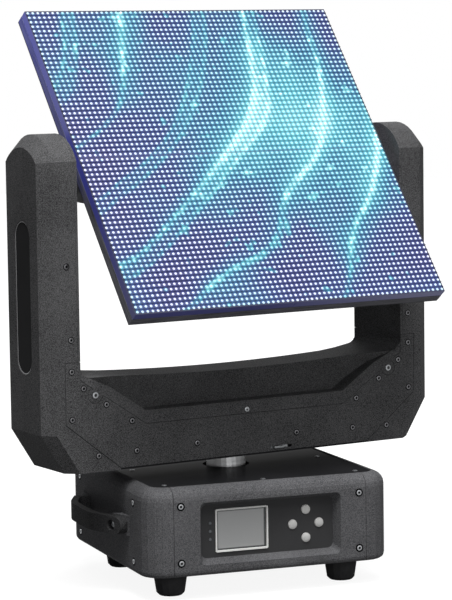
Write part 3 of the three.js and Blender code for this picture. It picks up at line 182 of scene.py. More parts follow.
def moulded_abs(name, dark, light):
    material, tree, shader, place = new_material(name, IOR=1.53, Specular_IOR_Level=0.006)
    grain = add_node(tree, NOISE, {"Vector": place, "Scale": per_mm(GRAIN_MM), "Detail": 0.0})
    cloud = add_node(tree, NOISE, {
        "Vector": place, "Scale": per_mm(CLOUD_MM), "Detail": 3.0, "Roughness": 0.55,
    })
    speck, drift, gloss = [
        add_node(tree, RANGE, {
            "Value": noise, "From Min": NOISE_LOW, "From Max": NOISE_HIGH,
            "To Min": least, "To Max": most,
        })
        for noise, least, most in ((grain, 0.0, 0.75), (cloud, 0.0, 0.25), (cloud, 0.56, 0.7))
    ]
    both = add_node(tree, MATH, {0: speck, 1: drift}, operation="ADD")
    colour = add_node(tree, MIX, {
        0: both, COLOUR_A: linear_colour(dark), COLOUR_B: linear_colour(light),
    }, data_type="RGBA")
    bump = add_node(tree, BUMP, {"Height": grain, "Strength": 0.35, "Distance": 0.12 * MM})
    set_inputs(shader, {"Base Color": colour, "Roughness": gloss, "Normal": bump})
    return material


yoke_abs = moulded_abs("moulded_abs_charcoal", "#262627", "#626263")
cover_abs = moulded_abs("moulded_abs_dark_cover", "#262627", "#636364")
base_abs = moulded_abs("moulded_abs_base_grey", "#38383a", "#6c6c6e")
handle_abs = moulded_abs("moulded_abs_handle_black", "#1e1e1f", "#4a4a4b")
print("materials so far:", len(bpy.data.materials))

# %% [markdown]
# ## Coated steel
# The top plate, the control plate and the sheet pieces inside are dark steel under a thin
# lacquer. Only the lacquer reflects, and the weight of its coat sets how bright the sheet
# gets at a low angle. Its orange-peel is about 1 mm wide. The badges are black foil under
# the same kind of lacquer.

# %% Steel and foil under lacquer
PEEL_MM = 1.2


def coated_steel(name, dark, light, roughness, coat=0.05):
    material, tree, shader, place = new_material(
        name, Roughness=roughness, Specular_IOR_Level=0.0,
        Coat_Weight=coat, Coat_Roughness=roughness,
    )
    peel = add_node(tree, NOISE, {"Vector": place, "Scale": per_mm(PEEL_MM), "Detail": 2.0})
    cloud = add_node(tree, NOISE, {"Vector": place, "Scale": per_mm(60), "Detail": 4.0})
    colour = add_node(tree, MIX, {
        0: cloud, COLOUR_A: linear_colour(dark), COLOUR_B: linear_colour(light),
    }, data_type="RGBA")
    bump = add_node(tree, BUMP, {"Height": peel, "Strength": 0.1, "Distance": 0.03 * MM})
    set_inputs(shader, {"Base Color": colour, "Normal": bump})
    return material


gloss_black_steel = coated_steel("gloss_black_coated_steel", "#171718", "#252527", 0.28, 0.12)
satin_steel = coated_steel("satin_charcoal_coated_steel", "#333334", "#434344", 0.45)
powder_steel = coated_steel("black_powder_coated_steel", "#1c1c1e", "#28282a", 0.5)
badge_foil = coated_steel("gloss_black_badge_foil", "#222223", "#2e2e2f", 0.3, 0.03)
print("materials so far:", len(bpy.data.materials))

# %% [markdown]
# ## Turned, plated and machined metal
# The neck and the shafts are turned steel: fine rings left by the tool stretch the
# highlight. Real rings are about 0.1 mm apart, too fine to show, so these are drawn 5 mm
# apart and shallow. They follow each other along the axis that the piece was turned on.
# Plated screws and machined pulleys use the same recipe in other greys.

# %% Bare and plated metals
RING_MM = 0.8 * 2 * math.pi  # about 5 mm
WAVE_TURN = 20  # radians by which a Wave texture turns in one unit


def turned_metal(name, dark, light, roughness, ring_axis="Z", ring_depth=0.25):
    material, tree, shader, place = new_material(name, Metallic=1.0)
    rings = add_node(tree, "ShaderNodeTexWave", {
        "Vector": place, "Scale": per_mm(RING_MM) * 2 * math.pi / WAVE_TURN,
        "Distortion": 1.5, "Detail": 3.0, "Detail Scale": 2.0,
    }, wave_type="BANDS", bands_direction=ring_axis).outputs["Fac"]
    stain = add_node(tree, NOISE, {"Vector": place, "Scale": per_mm(14), "Detail": 4.0})
    colour = add_node(tree, MIX, {
        0: stain, COLOUR_A: linear_colour(dark), COLOUR_B: linear_colour(light),
    }, data_type="RGBA")
    gloss = add_node(tree, RANGE, {
        "Value": rings, "To Min": roughness - 0.05, "To Max": roughness + 0.07,
    })
    bump = add_node(tree, BUMP, {"Height": rings, "Strength": ring_depth, "Distance": 0.03 * MM})
    set_inputs(shader, {"Base Color": colour, "Roughness": gloss, "Normal": bump})
    return material


turned_steel = turned_metal("turned_steel", "#bcbdbe", "#dcddde", 0.36, ring_depth=0.06)
shaft_steel = turned_metal("turned_shaft_steel", "#828385", "#a4a5a7", 0.42, ring_axis="X")
bright_steel = turned_metal("zinc_plated_steel", "#6c6e70", "#8e9092", 0.4)
machined_aluminium = turned_metal("machined_aluminium", "#b4b6b8", "#d6d8da", 0.34)
plated_screw_steel = turned_metal("zinc_plated_screw_steel", "#76787a", "#9a9c9e", 0.36)
black_screw_steel = turned_metal("black_oxide_screw_steel", "#4c4c4e", "#6a6a6c", 0.38)
print("materials so far:", len(bpy.data.materials))

# %% [markdown]
# ## Rubber, and the black of painted shade
# Feet and belts are dull moulded rubber with a matt bloom, a film of wax that comes out
# of the rubber in patches. The near-black rings under the screw heads are as dull; they are
# painted shade round each head.

# %% Rubber and painted shade


def moulded_rubber(name, dark, light):
    material, tree, shader, place = new_material(name, Roughness=0.78, Specular_IOR_Level=0.01)
    bloom = add_node(tree, NOISE, {
        "Vector": place, "Scale": per_mm(6), "Detail": 6.0, "Roughness": 0.65,
    })
    colour = add_node(tree, MIX, {
        0: bloom, COLOUR_A: linear_colour(dark), COLOUR_B: linear_colour(light),
    }, data_type="RGBA")
    bump = add_node(tree, BUMP, {"Height": bloom, "Strength": 0.4, "Distance": 0.15 * MM})
    set_inputs(shader, {"Base Color": colour, "Normal": bump})
    return material


soft_rubber = moulded_rubber("moulded_rubber", "#303031", "#454546")
shade_ring_black = moulded_rubber("painted_shade_black", "#0e0e0f", "#19191a")
print("materials so far:", len(bpy.data.materials))

# %% [markdown]
# ## Pale plastic and the circuit boards
# Buttons and the display's bezel are pale smooth ABS, and the light guide is frosted
# acrylic. A faint unevenness in the gloss is all that shows of the moulding. The rim of the
# badge is silver foil, pressed on hot, and pale enough for the same recipe. The circuit
# boards are green lacquer over copper tracks, which a brick pattern stands for.

# %% Pale plastic, silver foil and lacquered board


def pale_plastic(name, dark, light, roughness):
    material, tree, shader, place = new_material(
        name, Roughness=roughness, Specular_IOR_Level=0.04,
    )
    shade = add_node(tree, NOISE, {"Vector": place, "Scale": per_mm(4), "Detail": 5.0})
    colour = add_node(tree, MIX, {
        0: shade, COLOUR_A: linear_colour(dark), COLOUR_B: linear_colour(light),
    }, data_type="RGBA")
    bump = add_node(tree, BUMP, {"Height": shade, "Strength": 0.2, "Distance": 0.08 * MM})
    set_inputs(shader, {"Base Color": colour, "Normal": bump})
    return material


def lacquered_board(name):
    material, tree, shader, place = new_material(name, Roughness=0.35, IOR=1.5)
    tracks = add_node(tree, "ShaderNodeTexBrick", {
        "Vector": place, "Color1": linear_colour("#1d4a2c"), "Color2": linear_colour("#235a35"),
        "Mortar": linear_colour("#3f7a4c"), "Scale": per_mm(12), "Mortar Size": 0.04,
    })
    bump = add_node(tree, BUMP, {
        "Height": tracks.outputs["Fac"], "Strength": 0.3, "Distance": 0.1 * MM,
    })
    set_inputs(shader, {"Base Color": tracks, "Normal": bump})
    return material


button_plastic = pale_plastic("pale_button_abs", "#b6b6b4", "#cecdcb", 0.38)
bezel_plastic = pale_plastic("pale_bezel_abs", "#d6d6d4", "#e8e8e5", 0.42)
guide_acrylic = pale_plastic("frosted_light_guide_acrylic", "#5a5d60", "#74787c", 0.3)
badge_rim = pale_plastic("hot_stamped_silver_foil", "#b4b4b6", "#d2d2d4", 0.35)
green_board = lacquered_board("lacquered_circuit_board")
print("materials so far:", len(bpy.data.materials))

# %% [markdown]
# ## The display window
# Behind the window sits a small grey liquid-crystal display that is lit from its edges,
# so it glows evenly. A narrow dark rim of painted shade, where the bezel overhangs it, runs round
# its edge.
# The rim is found from the distance to the window's middle: the window is wider than it is high,
# so that much is taken off the sideways distance first, and the larger of the two distances draws
# a rectangle. The picture on it stays blank.

# %% Backlit display
DISPLAY_CENTRE = (-29.2 * MM, 0, 45 * MM)
EXTRA_HALF_WIDTH = 6.3 * MM
BEZEL_SHADE_INSIDE, BEZEL_SHADE_OUTSIDE = 19.4 * MM, 20.4 * MM


def backlit_window(name):
    material, tree, shader, place = new_material(name, Roughness=0.12, Emission_Strength=0.2)
    centred = add_node(tree, MAPPING, {
        "Vector": place, "Location": tuple(-c for c in DISPLAY_CENTRE),
    }, vector_type="POINT")
    axes = add_node(tree, AXES, {"Vector": centred}).outputs
    across, up = [add_node(tree, MATH, {0: axes[name]}, operation="ABSOLUTE") for name in "XZ"]
    side = add_node(tree, MATH, {0: across, 1: EXTRA_HALF_WIDTH}, operation="SUBTRACT")
    far = add_node(tree, MATH, {0: side, 1: up}, operation="MAXIMUM")
    # painted shade: a darker rim just inside the bezel
    rim = add_node(tree, RANGE, {"Value": far, "From Min": BEZEL_SHADE_INSIDE, "From Max": BEZEL_SHADE_OUTSIDE})
    glow = add_node(tree, MIX, {
        0: rim, COLOUR_A: linear_colour("#7f8080"), COLOUR_B: linear_colour("#2e3031"),
    }, data_type="RGBA")
    set_inputs(shader, {"Base Color": glow, "Emission Color": glow})
    return material


display_glass = backlit_window("backlit_display_window")
print("display centre in m:", DISPLAY_CENTRE)

# %% [markdown]
# ## The panel's own frame
# The panel's picture runs over four modules and all their lamps, so it is drawn in the
# head's frame, where the panel reaches from -1 to 1. The lamps and the mask behind them
# then share one picture, wherever a mesh begins or ends.

# %% Frame and soft noise of the panel
LAMP_PITCH = 6.08
LAMPS_PER_MODULE = 32
FIELD_HALF = LAMP_PITCH * LAMPS_PER_MODULE
MASK_FACE = -37.5  # front of the mask in the head's frame, in mm


def panel_frame(tree, place):
    return add_node(tree, MAPPING, {
        "Vector": place, "Location": head_place.translation, "Rotation": head_place.to_euler(),
        "Scale": (FIELD_HALF * MM,) * 3,
    }, vector_type="TEXTURE")


def soft_noise(tree, panel, scale, low, high, least, most):
    noise = add_node(tree, NOISE, {"Vector": panel, "Scale": scale, "Detail": 1.0})
    return add_node(tree, RANGE, {
        "Value": noise, "From Min": low, "From Max": high, "To Min": least, "To Max": most,
    })


print("lit field in mm:", 2 * FIELD_HALF)

# %% [markdown]
# ## Streams of light
# A stream is a ring round a far point, so that only a bent piece of it crosses the panel.
# The distance to that point is bent by noise, which lets the streams wander, and a colour
# ramp turns it to brightness: one peak in the ramp for each ring.

# %% Rings that wander
RAMP_REACH = 4  # the ramp's end, in half panels from the centre of the rings
WANDER_SCALE = 0.7


def distance_from(tree, panel, centre, bend):
    aside = add_node(tree, VECTOR_MATH, {0: panel, 1: centre}, operation="SUBTRACT")
    length = add_node(tree, VECTOR_MATH, {0: aside}, operation="LENGTH")
    wander = soft_noise(tree, panel, WANDER_SCALE, NOISE_LOW, NOISE_HIGH, -bend, bend)
    return add_node(tree, MATH, {0: length, 1: wander}, operation="ADD")


def streams(tree, panel, centre, bend, rings):
    stops = [(0.0, 0.0)]
    for radius, width, strength in rings:
        peak = ((radius - width, 0.0), (radius, strength), (radius + width, 0.0))
        stops += [(distance / RAMP_REACH, height) for distance, height in peak]
    share = add_node(tree, MATH, {
        0: distance_from(tree, panel, centre, bend), 1: 1 / RAMP_REACH,
    }, operation="MULTIPLY")
    return add_node(tree, RAMP, {"Fac": share}, stops=stops)


print("rings reach, in half panels:", RAMP_REACH)

# %% [markdown]
# ## What the panel plays
# The panel shows a picture of its own: a soft cyan pool on a violet ground, and long
# streams that curve round a point beyond its corner. Each stream is a thin bright line in
# a wide band of haze. One slow noise makes the streams come and go, a finer one breaks
# them into drops, and a third adds a few sparks. Everything is summed to one level, and
# the level becomes a colour only in the materials that follow.

# %% Picture of the panel
POOL_CENTRE, POOL_BEND = (0.4, -0.2, 0.25), 0.22
STREAM_CENTRE, STREAM_BEND = (-1.7, -0.2, 1.3), 0.16
HAZE_BANDS = [  # radius, half width, strength
    (0.62, 0.08, 0.2), (1.0, 0.1, 0.2), (1.34, 0.12, 0.22), (1.78, 0.1, 0.2), (2.2, 0.12, 0.24),
    (2.6, 0.1, 0.22), (3.0, 0.12, 0.24),
]
BRIGHT_LINES = [
    (0.62, 0.02, 0.5), (0.97, 0.02, 0.5), (1.04, 0.016, 0.4), (1.33, 0.025, 0.7),
    (1.74, 0.02, 0.5), (1.82, 0.02, 0.4), (2.17, 0.025, 0.7), (2.26, 0.016, 0.5),
    (2.6, 0.02, 0.7), (3.0, 0.025, 0.7),
]


def picture(tree, panel):
    pool = add_node(tree, RANGE, {
        "Value": distance_from(tree, panel, POOL_CENTRE, POOL_BEND),
        "From Min": 0.0, "From Max": 1.2, "To Min": 0.52, "To Max": 0.0,
    })
    ground = soft_noise(tree, panel, scale=1.6, low=0.36, high=0.66, least=0.06, most=0.36)
    spark = soft_noise(tree, panel, scale=11.0, low=0.66, high=0.72, least=0.0, most=0.3)
    haze, lines = [
        streams(tree, panel, STREAM_CENTRE, STREAM_BEND, rings)
        for rings in (HAZE_BANDS, BRIGHT_LINES)
    ]
    run = soft_noise(tree, panel, scale=1.1, low=0.32, high=0.5, least=0.35, most=1.0)
    drops = soft_noise(tree, panel, scale=15.0, low=0.46, high=0.6, least=0.3, most=1.0)
    haze_run, line_run = [
        add_node(tree, MATH, {0: stream, 1: run}, operation="MULTIPLY") for stream in (haze, lines)
    ]
    line_drops = add_node(tree, MATH, {0: line_run, 1: drops}, operation="MULTIPLY")
    level = pool
    for part in (ground, spark, haze_run, line_drops):
        level = add_node(tree, MATH, {0: level, 1: part}, operation="ADD")
    return level


print("bands of haze and bright lines:", len(HAZE_BANDS), len(BRIGHT_LINES))

# %% [markdown]
# ## Distances on the mask
# Two distances shape the mask's light: how far a point is from the nearest lamp, and how
# far it is from the outside. The first comes from folding the panel into cells, one for
# each lamp, so that every cell repeats the same picture.

# %% Distance to the nearest lamp and to the edge


def from_nearest_lamp(tree, panel):
    cells = add_node(tree, VECTOR_MATH, {0: panel, "Scale": LAMPS_PER_MODULE}, operation="SCALE")
    inside = add_node(tree, VECTOR_MATH, {0: cells}, operation="FRACTION")
    aside = add_node(tree, VECTOR_MATH, {0: inside, 1: (0.5, 0.5, 0.5)}, operation="SUBTRACT")
    flat = add_node(tree, VECTOR_MATH, {0: aside, 1: (1, 0, 1)}, operation="MULTIPLY")
    return add_node(tree, VECTOR_MATH, {0: flat}, operation="LENGTH")


def inside_edge(tree, axes):
    across, up = [add_node(tree, MATH, {0: axes[name]}, operation="ABSOLUTE") for name in "XZ"]
    reach = add_node(tree, MATH, {0: across, 1: up}, operation="MAXIMUM")
    return add_node(tree, RANGE, {
        "Value": reach, "From Min": 0.984, "From Max": 0.992, "To Min": 1.0, "To Max": 0.15,
    })


print("cells of the mask in a row:", 2 * LAMPS_PER_MODULE)

# %% [markdown]
# ## The panel's mask
# Between the lamps lies a dark louvred mask of polycarbonate. Its light is painted: the mask is no
# lamp, yet it glows with a painted spill that is brightest close to a lamp. It is dark half-way to
# the next as painted shade of the louvres, with a dark line round the outside. Its sides carry the
# same painted violet glow as the cabinet's edge, strongest at the top.

# %% Mask material
PAINTED_GLOW_VIOLET = linear_colour("#34398c")
FACE_SLACK = 0.1  # mm behind the face from which on a point counts as the side


def louvre_mask_painted_glow(name):
    material, tree, shader, place = new_material(name, Roughness=0.5, Emission_Strength=1.0)
    panel = panel_frame(tree, place)
    axes = add_node(tree, AXES, {"Vector": panel}).outputs
    level = picture(tree, panel)
    # painted spill: the mask glows in the picture's colours, though it is no lamp
    painted_spill = add_node(tree, RAMP, {"Fac": level}, stops=[
        (0.0, "#2b2a72"), (0.25, "#314a8c"), (0.5, "#3a87ad"), (0.75, "#5cbac9"), (1.0, "#a4e6ec"),
    ])
    # painted halo round each lamp, painted louvre shade half-way between, more painted glow in the
    # streams
    painted_halo_and_louvre_shade, painted_stream_glow, high = [
        add_node(tree, RANGE, {
            "Value": value, "From Min": low, "From Max": top, "To Min": least, "To Max": most,
        })
        for value, low, top, least, most in (
            (from_nearest_lamp(tree, panel), 0.26, 0.6, 1.25, 0.3),
            (level, 0.5, 1.0, 0.0, 0.4),
            (axes["Z"], -1.0, 0.9, 0.2, 1.0),
        )
    ]
    lifted = add_node(tree, MATH, {0: painted_halo_and_louvre_shade, 1: painted_stream_glow}, operation="ADD")
    front = add_node(tree, MATH, {0: lifted, 1: inside_edge(tree, axes)}, operation="MULTIPLY")
    painted_front_glow = add_node(tree, VECTOR_MATH, {0: painted_spill, "Scale": front}, operation="SCALE")
    # painted violet glow on the mask's sides, stronger towards the top
    side = add_node(tree, VECTOR_MATH, {0: PAINTED_GLOW_VIOLET[:3], "Scale": high}, operation="SCALE")
    behind_face = add_node(tree, MATH, {
        0: axes["Y"], 1: (MASK_FACE + FACE_SLACK) / FIELD_HALF,
    }, operation="GREATER_THAN")
    glow = add_node(tree, MIX, {
        0: behind_face, COLOUR_A: painted_front_glow, COLOUR_B: side,
    }, data_type="RGBA")
    set_inputs(shader, {"Emission Color": glow, "Base Color": linear_colour("#15152c")})
    return material


mask_plastic = louvre_mask_painted_glow("louvred_polycarbonate_mask_painted_glow")
print("nodes of the mask:", len(mask_plastic.node_tree.nodes))

# %% [markdown]
# ## The lamps' lenses
# Each lamp is a cast epoxy lens over a three-colour chip. Seen from a step away, the chip
# fills its lens with light. The lenses look almost white in the violet parts and cyan in
# the streams, and a slow noise makes neighbours differ a little, as real ones do.

# %% Lamp material


def lit_lamp(name):
    material, tree, shader, place = new_material(name, Roughness=0.35, Emission_Strength=1.0)
    grain = add_node(tree, NOISE, {"Vector": place, "Scale": per_mm(4), "Detail": 1.0})
    spread = add_node(tree, MATH, {0: grain, 1: 0.3}, operation="MULTIPLY")
    uneven = add_node(tree, MATH, {0: spread, 1: 0.9}, operation="ADD")
    colour = add_node(tree, RAMP, {"Fac": picture(tree, panel_frame(tree, place))}, stops=[
        (0.0, "#e4deff"), (0.2, "#dcf0ff"), (0.5, "#94eaf6"), (0.78, "#aaf6fb"), (1.0, "#ffffff"),
    ])
    glow = add_node(tree, VECTOR_MATH, {0: colour, "Scale": uneven}, operation="SCALE")
    set_inputs(shader, {"Emission Color": glow, "Base Color": linear_colour("#5c5c66")})
    return material


lamp_lens = lit_lamp("cast_epoxy_lamp_lens")
print("nodes of a lamp:", len(lamp_lens.node_tree.nodes))

# %% [markdown]
# ## The cabinet's edge
# The cabinet behind the modules is painted aluminium, brushed along its edges. Its sides carry a
# painted violet glow, emission that stands for the lamps' light running round onto them: strong
# near the top, gone below the middle. The painted glow and the brushing end before the cabinet's
# back, which stays plain.

# %% Painted aluminium with a painted violet glow
BRUSHED_ALONG = (1, 60, 1)  # squeezes the noise into streaks
PAINTED_GLOW_ENDS = (-19.5, -18.5)  # depth in mm over which the glow fades out


def cabinet_with_painted_glow(name, dark, light):
    material, tree, shader, place = new_material(
        name, Roughness=0.5, Specular_IOR_Level=0.02, Emission_Strength=1.0,
    )
    panel = panel_frame(tree, place)
    axes = add_node(tree, AXES, {"Vector": panel}).outputs
    along = add_node(tree, VECTOR_MATH, {0: panel, 1: BRUSHED_ALONG}, operation="MULTIPLY")
    forward, high = [
        add_node(tree, RANGE, {
            "Value": axes[axis], "From Min": low, "From Max": top, "To Min": least, "To Max": most,
        })
        for axis, (low, top), least, most in (
            ("Y", [depth / FIELD_HALF for depth in PAINTED_GLOW_ENDS], 1.0, 0.0),
            ("Z", (-0.3, 0.9), 0.0, 0.7),
        )
    ]
    brushing = soft_noise(tree, along, scale=5.0, low=0.35, high=0.65, least=0.0, most=1.0)
    streaks = add_node(tree, MATH, {0: brushing, 1: forward}, operation="MULTIPLY")
    peel = add_node(tree, NOISE, {"Vector": place, "Scale": per_mm(PEEL_MM), "Detail": 2.0})
    faint_peel = add_node(tree, MATH, {0: peel, 1: 0.4}, operation="MULTIPLY")
    brushed = add_node(tree, MATH, {0: streaks, 1: faint_peel}, operation="ADD")
    colour = add_node(tree, MIX, {
        0: brushed, COLOUR_A: linear_colour(dark), COLOUR_B: linear_colour(light),
    }, data_type="RGBA")
    # painted violet glow: emission on the cabinet's sides, strong near the top, fading towards the
    # back
    strength = add_node(tree, MATH, {0: high, 1: forward}, operation="MULTIPLY")
    glow = add_node(tree, VECTOR_MATH, {0: PAINTED_GLOW_VIOLET[:3], "Scale": strength}, operation="SCALE")
    bump = add_node(tree, BUMP, {"Height": brushed, "Strength": 0.15, "Distance": 0.05 * MM})
    set_inputs(shader, {"Base Color": colour, "Emission Color": glow, "Normal": bump})
    return material


dark_aluminium = cabinet_with_painted_glow("dark_painted_aluminium_with_painted_glow", "#38383c", "#6a6a70")
print("nodes of the cabinet:", len(dark_aluminium.node_tree.nodes))

# %% [markdown]
# ## Dress the pieces of the model
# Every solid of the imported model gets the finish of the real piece. The list below reads
# like a shopping list: finish first, then the pieces made in it.

# %% Finishes of the model's pieces
finishes = [
    (base_abs, ["base_front_cover", "base_rear_cover", "base_end_cap_right", "base_end_cap_left"]),
    (yoke_abs, [
        "arm_cover_right", "arm_cover_left", "arm_inner_plate_right", "arm_inner_plate_left",
        "beam_saddle", "head_rear_housing",
    ]),
    (cover_abs, ["beam_front_cover", "beam_rear_cover", "power_inlet", "power_outlet"]),
    (handle_abs, ["handle_right", "handle_left", "fan_frame", "fan_rotor"]),
    (gloss_black_steel, ["base_top_plate"]),
    (satin_steel, ["control_plate"]),
    (powder_steel, [
        "base_bottom_plate", "beam_chassis", "pan_bearing_housing", "pan_motor", "tilt_motor",
    ]),
    (dark_aluminium, ["panel_cabinet"]),
    (turned_steel, ["pan_neck", "pan_bearing"]),
    (shaft_steel, [
        "tilt_trunnion_right", "tilt_trunnion_left", "tilt_bearing_right", "tilt_bearing_left",
    ]),
    (bright_steel, ["pan_lock", "data_inlet", "data_outlet", "power_supply"]),
    (machined_aluminium, ["pan_pulley", "pan_motor_pulley", "tilt_pulley", "tilt_motor_pulley"]),
    (soft_rubber, [
        "foot_front_left", "foot_front_right", "foot_rear_left", "foot_rear_right", "pan_belt",
        "tilt_belt",
    ]),
    (green_board, ["control_board", "main_board"]),
    (button_plastic, ["button_up", "button_down", "button_left", "button_right"]),
    (bezel_plastic, ["display_bezel"]),
    (guide_acrylic, ["light_guide"]),
    (display_glass, ["display_screen"]),
    (mask_plastic, [
        "led_module_lower_left", "led_module_lower_right", "led_module_upper_left",
        "led_module_upper_right",
    ]),
]
dressed = 0
for finish, names in finishes:
    for name in names:
        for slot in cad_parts[name].material_slots:
            slot.material = finish
        dressed += 1
print("pieces dressed:", dressed, "of", len(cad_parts))

# %% [markdown]
# ## Helpers for shaping
# A new piece starts as a primitive with nothing else selected. Its faces are then picked
# by where they are or which way they look, and the edit operators act on those only.

# %% Start a piece and pick its faces


def start_piece(add, **shape):
    bpy.ops.object.select_all(action="DESELECT")
    add(**shape)
    return bpy.context.object


def looks_up(face):
    return face.normal.z > 0.9


def edit_faces(piece, chosen):
    bpy.ops.object.mode_set(mode="EDIT")
    bpy.ops.mesh.select_mode(type="FACE")
    bpy.ops.mesh.select_all(action="DESELECT")
    bpy.ops.object.mode_set(mode="OBJECT")
    for face in piece.data.polygons:
        face.select = chosen(face)
    bpy.ops.object.mode_set(mode="EDIT")


def leave_edit():
    bpy.ops.object.mode_set(mode="OBJECT")


def apply_all(piece):
    bpy.ops.object.select_all(action="DESELECT")
    piece.select_set(True)
    bpy.context.view_layer.objects.active = piece
    for modifier in list(piece.modifiers):
        bpy.ops.object.modifier_apply(modifier=modifier.name)


# %% [markdown]
# ## Helpers for setting in place
# New pieces are modelled straight, near the origin, and then set in place. The place goes
# into the mesh itself, so that every object stays at the origin, as the model's do. What
# repeats is modelled once and copied, and its copies are joined to one piece that rides on
# one body.

# %% Copy a model to its places


def set_copies(name, model, places, body, *finishes, slot=None):
    copies = []
    for place in places:
        copy = bpy.data.objects.new(name, model.data.copy())
        copy.data.transform(place)
        for finish in finishes:
            copy.data.materials.append(finish)
        bpy.context.scene.collection.objects.link(copy)
        copies.append(copy)
    bpy.ops.object.select_all(action="DESELECT")
    for copy in copies:
        copy.select_set(True)
    bpy.context.view_layer.objects.active = copies[0]
    if len(copies) > 1:
        bpy.ops.object.join()
    piece = copies[0]
    piece.name = name
    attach(piece, body)


def discard(*models):
    for model in models:
        bpy.data.objects.remove(model, do_unlink=True)


# %% [markdown]
# ## Screw heads
# Small pan-head screws hold every cover. A real one is a low dome with a recess. One head
# is modelled from a cylinder: its rim is bevelled, because that round rim is what catches
# the light, and its top is inset and pushed down for the recess.

# %% One pan-head screw
SCREW_SIDES = 20
RIM_SHARE = 0.45  # of the height
LAND_SHARE = 0.3  # of the radius, from the bevel to the recess
RECESS_SHARE = 0.6  # of the height
HAIR = 1e-6


def screw_head(radius_mm, height_mm):
    radius, height = radius_mm * MM, height_mm * MM
    piece = start_piece(
        bpy.ops.mesh.primitive_cylinder_add, vertices=SCREW_SIDES, radius=radius,
        depth=height, location=(0, 0, height / 2),
    )
    edit_faces(piece, looks_up)
    bpy.ops.mesh.bevel(offset=height * RIM_SHARE, segments=2, affect="EDGES")
    leave_edit()
    top = max(vertex.co.z for vertex in piece.data.vertices)
    edit_faces(piece, lambda face: looks_up(face) and face.center.z > top - HAIR)
    bpy.ops.mesh.inset(thickness=radius * LAND_SHARE)
    bpy.ops.mesh.extrude_region_move(
        TRANSFORM_OT_translate={"value": (0, 0, -height * RECESS_SHARE)},
    )
    leave_edit()
    bpy.ops.object.shade_smooth_by_angle(angle=math.radians(35))
    return piece


small_screw = screw_head(2.9, 1.3)
large_screw = screw_head(3.6, 1.6)
print("faces of a screw head:", len(small_screw.data.polygons))

# %% [markdown]
# ## Rings of painted shade under the screws
# Under each head of a cover's screw lies a thin near-black disc. It is a little wider than
# the head and shows as a dark ring round it: painted shade round the head. The base has a wider
# and thicker one than
# the yoke. The rim is chamfered: the top is inset and lifted.

# %% Two rings of painted shade
LIFT_SHARE = 0.5  # of the height


def shade_ring(radius_mm, height_mm):
    radius, height = radius_mm * MM, height_mm * MM
    piece = start_piece(
        bpy.ops.mesh.primitive_cylinder_add, vertices=SCREW_SIDES, radius=radius,
        depth=height, location=(0, 0, height / 2),
    )
    edit_faces(piece, looks_up)
    bpy.ops.mesh.inset(thickness=height)
    bpy.ops.transform.translate(value=(0, 0, height * LIFT_SHARE))
    leave_edit()
    bpy.ops.object.shade_smooth_by_angle(angle=math.radians(60))
    return piece


# near-black rings of painted shade under the screw heads
small_shade_ring = shade_ring(3.7, 0.2)
large_shade_ring = shade_ring(4.5, 0.25)
print("faces of a washer:", len(small_shade_ring.data.polygons))

# %% [markdown]
# ## Screws of the yoke
# The front and rear covers carry screws along their edges, the band of the saddle has one
# in its middle, and a brighter one holds each lug of the saddle. The places are read in
# the yoke's own frame, so left and right mirror.

# %% Yoke screws
YOKE_FACE = 46.2 * MM
BAND_FACE = 45.8 * MM
BAND_SCREW_HEIGHT = 161
face_front = Matrix.Rotation(math.radians(90), 4, "X")
face_rear = Matrix.Rotation(math.radians(-90), 4, "X")
COVER_SCREWS = [  # sideways and up, in mm
    (202.1, 200.3), (175.1, 181.2), (144.3, 161.3), (216.2, 168.1), (216, 219), (185.3, 127.2),
    (139, 128.5), (64, 129.8),
]
ARM_SCREWS = [(216, 252.6), (220, 330)]
LUG_SCREWS = [(188.2, 192.2)]


def on_both_faces(screws, depth, sides=(-1, 1)):
    return [
        yoke_place @ Matrix.Translation((side * x * MM, face * depth, z * MM)) @ turn
        for x, z in screws for side in sides for face, turn in ((-1, face_front), (1, face_rear))
    ]


yoke_places = on_both_faces(COVER_SCREWS + ARM_SCREWS, YOKE_FACE)
lug_places = on_both_faces(LUG_SCREWS, YOKE_FACE)
band_places = on_both_faces([(0, BAND_SCREW_HEIGHT)], BAND_FACE, sides=(1,))
set_copies("yoke_cover_screws", small_screw, yoke_places, "yoke", black_screw_steel)
# near-black rings of painted shade round the yoke's screw heads
set_copies("yoke_cover_shade_rings", small_shade_ring, yoke_places, "yoke", shade_ring_black)
set_copies("yoke_lug_screws", large_screw, lug_places, "yoke", bright_steel)
set_copies("yoke_band_screws", small_screw, band_places, "yoke", bright_steel)
print("yoke screws:", len(yoke_places) + len(lug_places) + len(band_places))

# %% [markdown]
# ## Screws of the base
# The base's covers are held from the front, the sides and the rear, and the top plate
# from above.

# %% Base screws
BASE_FRONT = 135 * MM
BASE_SIDE = 141 * MM
TOP_PLATE = 95 * MM
FACE_SCREW_SIDE = 102  # mm from the middle, on the front and the rear
FACE_SCREW_HEIGHTS = (15.6, 76.1)
SIDE_SCREW_DEPTH = 93
SIDE_SCREW_HEIGHTS = (13.4, 76.7)
PLATE_SCREWS = [
    (-110, -106), (110, -106), (-110, 106), (110, 106), (110, 0), (-110, 0), (0, 112), (0, -112),
]
base_places = []
for side in (-1, 1):
    for height in FACE_SCREW_HEIGHTS:
        for face, turn in ((-1, face_front), (1, face_rear)):
            point = (side * FACE_SCREW_SIDE * MM, face * BASE_FRONT, height * MM)
            base_places.append(Matrix.Translation(point) @ turn)
    for height in SIDE_SCREW_HEIGHTS:
        for face in (-1, 1):
            point = (side * BASE_SIDE, face * SIDE_SCREW_DEPTH * MM, height * MM)
            turn = Matrix.Rotation(side * math.radians(90), 4, "Y")
            base_places.append(Matrix.Translation(point) @ turn)
plate_places = [Matrix.Translation((x * MM, y * MM, TOP_PLATE)) for x, y in PLATE_SCREWS]
set_copies("base_cover_screws", small_screw, base_places, "base", plated_screw_steel)
